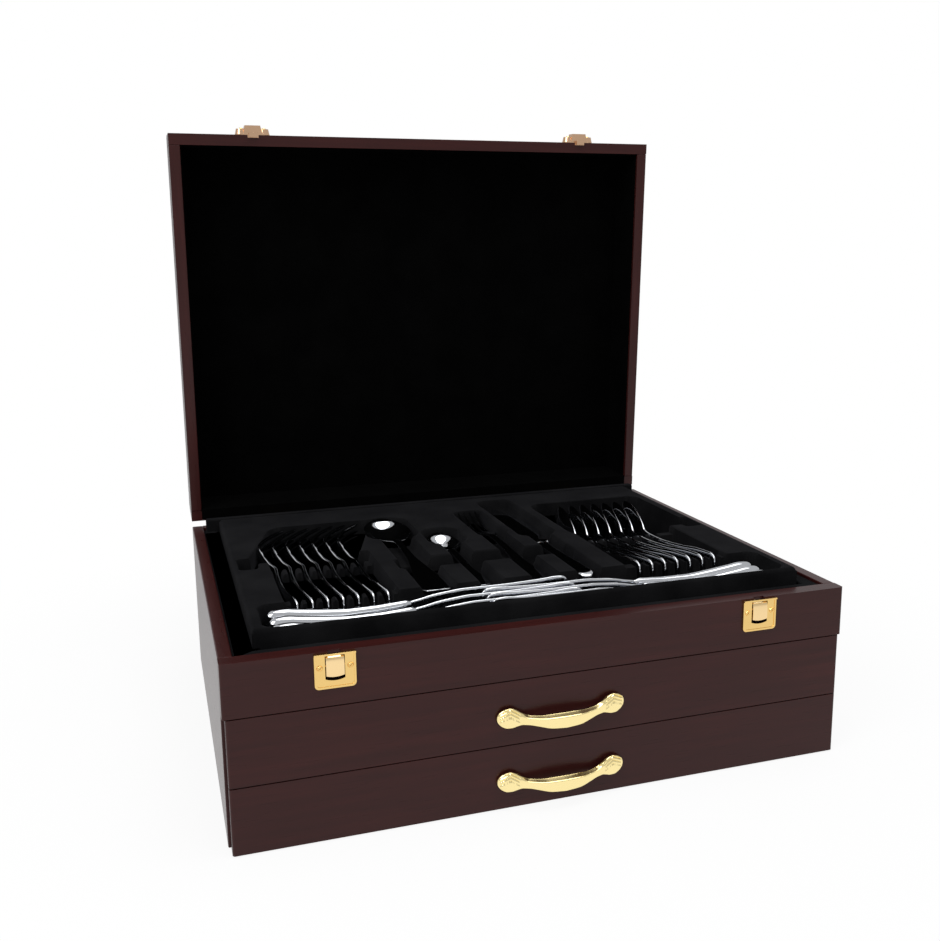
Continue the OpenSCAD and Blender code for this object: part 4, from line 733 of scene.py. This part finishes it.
def pie_server_form():
    """A hollow handle with a flat leaf blade."""
    y = np.concatenate([[0, 0.4, 1.2], np.linspace(3, 104, 50), [106, 107.4, 108]])
    half = along([(0, 2.4), (1.2, 4.6), (4, 7), (12, 8), (30, 7.6), (80, 5.4), (104, 5.9), (107, 5.6),
                  (108, 4.4)], y)
    top = along([(0, 5), (1.2, 6.2), (4, 7.3), (12, 8), (60, 7.2), (99, 6.4), (101.5, 8.2), (104, 8.4),
                 (108, 5.6)], y)
    low = along([(0, 3), (1.2, 1.6), (4, 0.6), (12, 0), (60, 0.6), (108, 1.8)], y)
    section = rounded_section(24, 4.5)
    rings = [[(h * u, station, (t + b) / 2 + (t - b) / 2 * v) for u, v in section]
             for station, h, t, b in zip(y, half, top, low)]
    blade_line = np.array([(105, 2.9), (150, 2.9), (243, 2.9)], float)
    blade_rows = [(105, 4), (119, 4.6), (131, 9), (153, 15), (181, 14.2), (215, 9.6), (232, 5), (240, 2.4),
                  (243, 0.3)]
    blade = pressed(blade_line, blade_rows, [(105, 2.2), (243, 1.2)], squareness=5)
    return joined([tube(rings), blade])


metal_piece("pie_server.polished", moved(pie_server_form(), at=(57, PIECE_END / MM, TOP_MM - 12 + SEAT)),
            "pie_server", steel)
print("serving pieces laid")

# %% [markdown]
# ## Table knives
# A knife has a hollow handle, drawn in two halves and soldered, that swells at its end
# and dips in the middle. The forged blade leaves it through a small collar.

# %% Table knives
KNIFE_L, HANDLE_L, HANDLE_H, HANDLE_T, BLADE_W = 238, 110, 20, 10, 19
KNIFE_TOP = TOP_MM - 2


def knife_form():
    """Handle end at the origin, blade along +X, on its edge, its back near z = 0."""
    share = np.concatenate([[0, 0.002, 0.006, 0.014, 0.025], np.linspace(0.04, 0.96, 60), [0.975, 0.985, 1]])
    top = along([(0, 0.5), (0.006, 0.34), (0.03, 0.12), (0.07, 0.02), (0.13, 0), (0.22, 0.06), (0.42, 0.19),
                 (0.58, 0.26), (0.73, 0.26), (0.89, 0.22), (0.97, 0.2), (0.985, 0.24), (1, 0.26)], share)
    low = along([(0, 0.56), (0.006, 0.72), (0.03, 0.87), (0.09, 0.98), (0.22, 1), (0.46, 0.97), (0.76, 0.88),
                 (0.97, 0.84), (1, 0.8)], share)
    half = along([(0, 0.06), (0.006, 0.2), (0.02, 0.34), (0.08, 0.5), (0.4, 0.46), (0.8, 0.36), (0.97, 0.32),
                  (0.985, 0.25), (1, 0.2)], share)
    section = rounded_section(28, 2.3)
    rings = [[(f * HANDLE_L, h * HANDLE_T * u, -HANDLE_H * ((t + b) / 2 - (b - t) / 2 * v))
              for u, v in section] for f, t, b, h in zip(share, top, low, half)]
    blade_l = KNIFE_L - HANDLE_L
    share = np.concatenate([np.linspace(-0.02, 0.94, 60), [0.96, 0.975, 0.987, 0.995, 1]])
    top = along([(-0.02, 0.3), (0.06, 0.21), (0.13, 0.11), (0.23, 0.03), (0.33, -0.02), (0.55, -0.01),
                 (0.8, -0.05), (0.92, -0.1), (0.975, -0.07), (0.995, 0.08), (1, 0.22)], share)
    low = along([(-0.02, 0.76), (0.06, 0.9), (0.25, 1), (0.7, 1), (0.85, 0.95), (0.93, 0.8), (0.975, 0.58),
                 (0.995, 0.38), (1, 0.26)], share)
    # From the round back down both ground faces to the edge
    wedge = [(0, 0), (0.7, 0.03), (1, 0.09), (0.9, 0.3), (0.62, 0.65), (0.2, 0.97), (0, 1)]
    wedge = np.array(wedge + [(-u, v) for u, v in wedge[-2:0:-1]])
    blade = [[(HANDLE_L + f * blade_l, u * 0.85, -BLADE_W * (t + (b - t) * v)) for u, v in wedge]
             for f, t, b in zip(share, top, low)]
    return joined([tube(rings), tube(blade)])


knife = knife_form()
trough_back = TROUGH_BACK / MM
left_x, right_x = -INSERT_X / MM + 12, INSERT_X / MM - 18
knives = [moved(knife, at=(left_x, trough_back - d, KNIFE_TOP)) for d in KNIVES_LEFT]
knives += [moved(knife, [(-1, 0, 0), (0, -1, 0), (0, 0, 1)], (right_x, trough_back - d, KNIFE_TOP))
           for d in KNIVES_RIGHT]
metal_piece("table_knives.polished", joined(knives), "table_knives", steel)
print(len(knives), "knives")

# %% [markdown]
# ## Bow pulls
# Each pull is one cast and polished piece of brass. Two shell-like leaves with
# chased ribs lie on the drawer front; between them a bow widens into a long leaf
# with a ridge along its upper third, and hangs a little below its ends.

# %% Bow pulls
PULL_HALF = 50
POST_X = 42
PULL_DROP = 2.8
FRONT_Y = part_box("upper_drawer_front")[0].y / MM


def pull_form():
    """The pull round its centre: X along it, Y away from the drawer (negative), Z up."""
    count = 88
    x = PULL_HALF * np.sin(np.linspace(-np.pi / 2, np.pi / 2, 230))
    off = np.abs(x)
    reach = along([(0, 9.4), (10, 9.0), (20, 7.2), (29, 4.6), (36, 3.2), (42, 2.6), (50, 1.6)], off)
    sag = along([(0, -3.9), (12, -3.5), (22, -2.4), (29, -1.5), (36, -0.4), (42, 0), (50, 0.6)], off)
    above = along([(0, 5.4), (10, 5.0), (20, 3.8), (26, 3.5), (31, 5.0), (36, 7.4), (40, 8.2), (44, 7.4),
                   (47.5, 5.2), (49.3, 3.0), (50, 0.6)], off)
    below = along([(0, 5.6), (10, 5.2), (20, 4.0), (26, 3.5), (31, 3.9), (35, 5.6), (39, 7.0), (42.5, 7.2),
                   (46, 6.0), (48.6, 3.8), (49.6, 2.0), (50, 0.6)], off)
    front = along([(0, 3.9), (12, 3.7), (24, 3.0), (32, 2.8), (42, 2.6), (47, 2.0), (49.6, 1.1),
                   (50, 0.3)], off)
    lean = np.radians(along([(0, 8), (20, 6), (34, 0), (50, 0)], off))
    angle = np.linspace(0, 2 * np.pi, count, endpoint=False)
    share = np.sign(np.cos(angle)) * np.abs(np.cos(angle)) ** 0.7
    through = np.sign(np.sin(angle)) * np.abs(np.sin(angle)) ** 0.6
    # The grip's front is a flat face up to a ridge; from there its top slopes back
    ridged = np.interp(share, [-1, -0.86, 0.55, 0.63, 1.0], [0.55, 0.9, 1.0, 0.94, 0.0])
    rings = []
    for i in range(len(x)):
        grip = soft_step((35 - off[i]) / 7)
        tall = np.where(share > 0, above[i], below[i]) * share
        thick = np.where(through > 0, front[i] * (grip * ridged * through ** 0.35 + (1 - grip) * through),
                         1.2 * through)
        # Chased grooves: nested arrows on the leaves, their tips up
        arrow = tall + 0.55 * np.abs(off[i] - 40.5) - 1.2
        cut = np.clip(1 - np.abs((arrow / 2.6) % 1.0 - 0.5) / 0.3, 0, 1) * (arrow > 0) * (through > 0.2)
        thick = thick - 0.9 * cut * soft_step((off[i] - 32) / 3) * soft_step((49 - off[i]) / 2)
        y = -(reach[i] + thick * math.cos(lean[i]) - tall * math.sin(lean[i]))
        z = sag[i] + tall * math.cos(lean[i]) + thick * math.sin(lean[i])
        rings.append(np.stack([np.full(count, x[i]), np.minimum(y, -0.05), z], axis=-1))
    return tube(rings)


def post_form(side):
    """The short post behind a leaf, through which the screw holds the pull."""
    angle = np.linspace(0, 2 * np.pi, 24, endpoint=False)
    rings = [np.stack([side * POST_X + r * np.cos(angle), np.full(24, y), r * np.sin(angle)], axis=-1)
             for y, r in ((-2.6, 4.4), (-1.0, 4.6), (-0.02, 5.0))]
    return tube(rings)


pull = joined([pull_form(), post_form(-1), post_form(1)])
for level in ("upper", "lower"):
    low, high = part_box(f"{level}_drawer_front")
    middle = (low.z + high.z) / 2 / MM - PULL_DROP
    node = f"{level}_handle"
    # The pull's paler brass is painted light
    metal_piece(node + ".cast", moved(pull, at=(0, FRONT_Y, middle)), node, pull_brass_painted_light, 60)
print("two bow pulls")

# %% [markdown]
# ## Floor, backdrop and light
# The chest stands on a white sweep. The camera sees it as nearly plain white, which
# still takes a faint contact shadow. Mirrored rays get only a share of that plain white:
# on the floor from all of it near the chest down to 0.3, and 0.3 from the world.

# %% Floor
def seen(tree, path, glossy_share):
    """How much of the plain white each kind of ray gets: all of it for the camera and glass."""
    glossy = add(tree, "ShaderNodeMath", {0: (path, "Is Glossy Ray"), 1: glossy_share}, operation="MULTIPLY")
    total = add(tree, "ShaderNodeMath", {0: (path, "Is Camera Ray"), 1: (path, "Is Transmission Ray")},
                operation="MAXIMUM")
    return add(tree, "ShaderNodeMath", {0: (total, "Value"), 1: (glossy, "Value")}, operation="MAXIMUM")


def white_sweep():
    material = bpy.data.materials.new("white_paper_sweep")
    material.use_nodes = True
    tree = material.node_tree
    tree.nodes.clear()
    # Near the chest a little real light shows as a shadow; further off the paper is plain white.
    # In reflections the paper dims with distance, as a lit sheet does
    place = add(tree, "ShaderNodeTexCoord")
    away = add(tree, "ShaderNodeVectorMath", {0: (place, "Object")}, operation="LENGTH")
    plain = add(tree, "ShaderNodeMapRange", {"Value": (away, "Value")},
                {"From Min": 0.3, "From Max": 0.7, "To Min": 0.9, "To Max": 1.0},
                interpolation_type="SMOOTHSTEP")
    mirrored = add(tree, "ShaderNodeMapRange", {"Value": (away, "Value")},
                   {"From Min": 0.22, "From Max": 0.65, "To Min": 1.0, "To Max": 0.3},
                   interpolation_type="SMOOTHSTEP")
    path = add(tree, "ShaderNodeLightPath")
    total = seen(tree, path, (mirrored, "Result"))
    share = add(tree, "ShaderNodeMath", {0: (total, "Value"), 1: (plain, "Result")}, operation="MULTIPLY")
    paper = add(tree, "ShaderNodeBsdfDiffuse", None, {"Color": linear("#F2F2F2")})
    glow = add(tree, "ShaderNodeEmission", None, {"Color": (1, 1, 1, 1), "Strength": 1.0})
    mixed = add(tree, "ShaderNodeMixShader",
                {"Fac": (share, "Value"), 1: (paper, "BSDF"), 2: (glow, "Emission")})
    add(tree, "ShaderNodeOutputMaterial", {"Surface": (mixed, "Shader")})
    return material


floor_mesh = bpy.data.meshes.new("floor")
floor_mesh.from_pydata([(-6, -6, 0), (6, -6, 0), (6, 6, 0), (-6, 6, 0)], [], [(0, 1, 2, 3)])
floor_mesh.materials.append(white_sweep())
floor = bpy.data.objects.new("floor", floor_mesh)
scene.collection.objects.link(floor)

# %% World and lamps
world = bpy.data.worlds.new("studio")
scene.world = world
world.use_nodes = True
tree = world.node_tree
tree.nodes.clear()
path = add(tree, "ShaderNodeLightPath")
studio = add(tree, "ShaderNodeValue")
studio.outputs["Value"].default_value = 0.3
white = add(tree, "ShaderNodeBackground", None, {"Color": (1, 1, 1, 1), "Strength": 1.0})
soft = add(tree, "ShaderNodeBackground", None, {"Color": (0.97, 0.98, 1, 1), "Strength": 0.45})
total = seen(tree, path, (studio, "Value"))
mixed = add(tree, "ShaderNodeMixShader",
            {"Fac": (total, "Value"), 1: (soft, "Background"), 2: (white, "Background")})
add(tree, "ShaderNodeOutputWorld", {"Surface": (mixed, "Shader")})


def softbox(name, at, size, power, target=(0, 0, 0.2)):
    lamp = bpy.data.objects.new(name, bpy.data.lights.new(name, "AREA"))
    lamp.data.shape = "RECTANGLE"
    lamp.data.size, lamp.data.size_y = size
    lamp.data.energy = power
    lamp.location = at
    lamp.rotation_euler = (Vector(target) - Vector(at)).to_track_quat("-Z", "Y").to_euler()
    scene.collection.objects.link(lamp)


softbox("left_softbox", (-1.6, -1.1, 1.5), (1.2, 1.2), 22)
softbox("top_softbox", (0.3, -0.4, 2.2), (1.6, 1.6), 26)
print("stage set")
